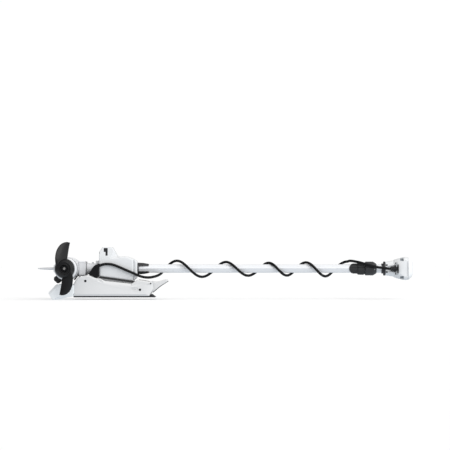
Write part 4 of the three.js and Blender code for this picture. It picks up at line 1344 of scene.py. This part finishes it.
GLAND_Y = -51
GLAND_LINE = (GLAND_Y, 141)
HEAD_SCREW = (1371, AXIS_Z)
VENT_ANGLES = (54, 126, -54, -126)


def sector(x0, x1, r0, r1, degrees, spread, lean=0):
    """A block cut from a ring round the shaft; degrees is measured up from the propeller side."""
    points = []
    for x, shift in ((x0, 0), (x1, lean)):
        for r in (r0, r1):
            for part in (-spread, spread):
                angle = math.radians(degrees + part + shift)
                points.append((x, -r * math.cos(angle), AXIS_Z + r * math.sin(angle)))
    return hull(points)


def squared(obj):
    """Flattens the head's four sides, more towards its end, without leaving its round outline's box."""
    centre = Vector(SHAFT_MIDDLE) * MM
    for vertex in obj.data.vertices:
        share = min(1, max(0, (vertex.co.x / MM - 1405) / 45))
        power = 2 + 1.8 * share * share * (3 - 2 * share)
        out = vertex.co - centre
        radius = math.hypot(out.y, out.z)
        if radius > 0:
            spread = (abs(out.y / radius) ** power + abs(out.z / radius) ** power) ** (-1 / power)
            vertex.co.y, vertex.co.z = out.y * spread, out.z * spread + centre.z
    return obj


def head_shell():
    """The white shell: a cone from the flange, a bulge with four vents, and a flat pad facing outwards."""
    profile = [
        (1365.3, HEAD_BORE, 0), (1365.3, 34, 1), (1398, 39, 4), (1404, 39.5, 3), (1410, 44, 4),
        (1422, 48.5, 10), (1442, 53.5, 20), (1460, 57.5, 8), (1474.6, 57, 2), (1474.6, 52, 1),
        (1440, 47, 3), (1415, 34, 3), (1376, SHAFT_R + 6, 2), (1376, HEAD_BORE, 0),
    ]
    shell = about_shaft("head_hood", profile, corner=1)
    squared(shell)
    pocket = bar(1360, 1428, 22.5, "x", GLAND_LINE, 64)
    pad = brick(1434, 1473, -70, -52.3, AXIS_Z - 40, AXIS_Z + 40)
    holes = [moved(bar(-60, -31.2, 4.8, "y", HEAD_SCREW, 32), about("X", degrees, SHAFT_MIDDLE))
        for degrees in (-30, 30)]
    vents = [sector(1436, 1453, 40, 80, angle, 13, -6 if angle in (54, -126) else 6)
        for angle in VENT_ANGLES]
    return carve(shell, pocket, pad, *holes, *vents)


piece(head_shell(), "shaft", "white_plastic", white, "head_shell", crease=30)
screen_profile = [(1428, 40), (1430, 45.5), (1456, 49.5), (1458, 44), (1440, 40)]
screen = about_shaft("vent_screen", screen_profile, corner=1)
squared(screen)
piece(screen, "shaft", "pale_plastic", vent_grey)


def head_cap():
    profile = [
        (1475.3, 0, 0), (1475.3, 56.6, 1), (1478, 56.4, 4), (1487, 50.5, 8), (1494.5, 43, 6),
        (1499, 34, 5), (1500, 30, 1), (1500, 0, 0),
    ]
    cap = about_shaft("head_end_cap", profile, corner=1)
    squared(cap)
    ring = about_shaft("tool", [(1496, 26.5), (1496, 27.5), (1502, 28), (1502, 26)], corner=0)
    return carve(cap, ring)


piece(head_cap(), "shaft", "white_plastic", white, "head_cap")


def cable_gland():
    """A bellows strain relief that grows along the cable into a flanged root."""
    profile = [(1388, 0, 0), (1388, 11.8, 1.2)]
    for k in range(4):
        x = 1390 + 7.4 * k
        r = 12.4 + 0.7 * k
        profile += [(x, r, 0.9), (x + 3.4, r + 0.5, 0.9), (x + 4, r - 2.6, 0.5), (x + 6.8, r - 2.4, 0.5)]
    profile += [(1420.4, 15.4, 0.8), (1421, 21, 1), (1426.6, 21.2, 1), (1426.6, 0, 0)]
    gland = turned("gland_bellows", profile, "x", GLAND_LINE, 72, corner=0.6)
    return carve(gland, bar(1340, 1425, SHAFT_R + 14, "x", SHAFT_LINE, 96))


# The lug round the gland's root is mid grey: partly its own grey, partly painted shade round the gland.
lug_outline = oblong(GLAND_Y - 8, GLAND_Y + 6, AXIS_Z - 31, AXIS_Z + 31)
lug = plate("gland_lug_painted_shade", lug_outline, 1413, 1421, edge=1.2, corner=6, axis="x")
piece(lug, "shaft", "pale_plastic", trim_grey)
for label, rise in (("upper", 27), ("lower", -27)):
    profile = [(1409.5, 0), (1409.5, 3), (1413.2, 3.4), (1413.2, 0)]
    screw = turned(f"lug_screw_{label}", profile, "x", (GLAND_Y - 1, AXIS_Z + rise), 32, corner=0.5)
    piece(screw, "shaft", "steel", black_steel)
piece(cable_gland(), "shaft", "black_rubber", rubber, "cable_gland")
for label, degrees in (("upper", -30), ("lower", 30)):
    head = [(-37, 0), (-37, 3.6), (-35.8, 4.5), (-31.4, 4.5), (-31.4, 0)]
    screw = socket_screw(head, (-38, -35, 2.2), "y", HEAD_SCREW, 32, 0.4)
    moved(screw, about("X", degrees, SHAFT_MIDDLE))
    screw.name = f"neck_screw_{label}"
    piece(screw, "shaft", "steel", black_steel, f"head_screw_{label}")

# ---- Floor, light and backdrop ----
floor_material = bpy.data.materials.new("pale_floor")
floor_material.use_nodes = True
floor_shader = floor_material.node_tree.nodes["Principled BSDF"]
floor_shader.inputs["Base Color"].default_value = (0.62, 0.62, 0.62, 1)
floor_shader.inputs["Emission Color"].default_value = (1, 1, 1, 1)
floor_shader.inputs["Emission Strength"].default_value = 0.38
floor_shader.inputs["Roughness"].default_value = 0.9
floor_shader.inputs["Specular IOR Level"].default_value = 0.1
FLOOR_REACH = 60000
floor_corners = oblong(-FLOOR_REACH, FLOOR_REACH, -FLOOR_REACH, FLOOR_REACH)
floor = mesh_object("floor", [(x, y, FLOOR_Z) for x, y in floor_corners], [(0, 1, 2, 3)])
floor.data.materials.append(floor_material)
floor.visible_diffuse = False
floor.visible_glossy = False


LEFT_SKY, RIGHT_SKY, TOP_SKY = 0.45, 1.75, 1.0  # against the level to either side of the camera
FRONT_SHARE = 0.6  # around the camera itself
REAR_SHARE = 0.45  # round the backdrop
SIDE_SKY = 0.72
UNDER_SKY = (0.80, 0.86, 0.92)
BACKDROP = (1.02, 1.02, 1.02)


def studio_world():
    """A white backdrop behind the object, brighter on the right than on the left, and bluish from below."""
    world = bpy.data.worlds.new("studio")
    world.use_nodes = True
    bpy.context.scene.world = world
    tree = world.node_tree
    sky = tree.nodes["Background"]

    def add(kind, inputs, **settings):
        return shader_node(tree, kind, inputs, **settings).outputs

    def ramp(value, start, end, low, high):
        inputs = {0: value, 1: start, 2: end, 3: low, 4: high}
        return add("MapRange", inputs, interpolation_type="SMOOTHSTEP")[0]

    way = add("SeparateXYZ", {0: add("TexCoord", {})["Generated"]})
    left = ramp(way["X"], -0.95, -0.5, LEFT_SKY, 1.0)
    right = ramp(way["X"], 0.45, 0.95, 0.0, RIGHT_SKY - 1)
    top = ramp(way["Z"], 0.1, 0.8, 0.0, TOP_SKY - 1)
    across = add("Math", {0: left, 1: right}, operation="ADD")[0]
    level = add("Math", {0: across, 1: top}, operation="ADD")[0]
    front = ramp(way["Y"], -0.98, -0.8, SIDE_SKY * FRONT_SHARE, SIDE_SKY)
    rear = ramp(way["Y"], 0.5, 0.8, 1.0, REAR_SHARE)
    dimmed = add("Math", {0: front, 1: rear}, operation="MULTIPLY")[0]
    shown = add("Math", {0: level, 1: dimmed}, operation="MULTIPLY")[0]
    sides = add("CombineColor", {0: shown, 1: shown, 2: shown})[0]
    below = ramp(way["Z"], -0.45, 0.0, 1.0, 0.0)
    lower = add("Mix", {"Factor": below, "A": sides, "B": (*UNDER_SKY, 1)}, data_type="RGBA")["Result"]
    backdrop = ramp(way["Y"], 0.94, 0.965, 0.0, 1.0)
    whole = add("Mix", {"Factor": backdrop, "A": lower, "B": (*BACKDROP, 1)}, data_type="RGBA")
    tree.links.new(whole["Result"], sky.inputs["Color"])


studio_world()


def sun(name, strength, direction, spread, colour=(1, 1, 1)):
    """A broad soft light from a direction, given as where it comes from."""
    light = bpy.data.lights.new(name, "SUN")
    light.energy = strength
    light.angle = math.radians(spread)
    light.color = colour
    lamp = bpy.data.objects.new(name, light)
    lamp.rotation_euler = Vector(direction).to_track_quat("Z", "Y").to_euler()
    bpy.context.scene.collection.objects.link(lamp)


sun("key", 1.75, (0.45, -0.8, 0.7), 60)
bpy.context.scene.view_settings.view_transform = "Standard"
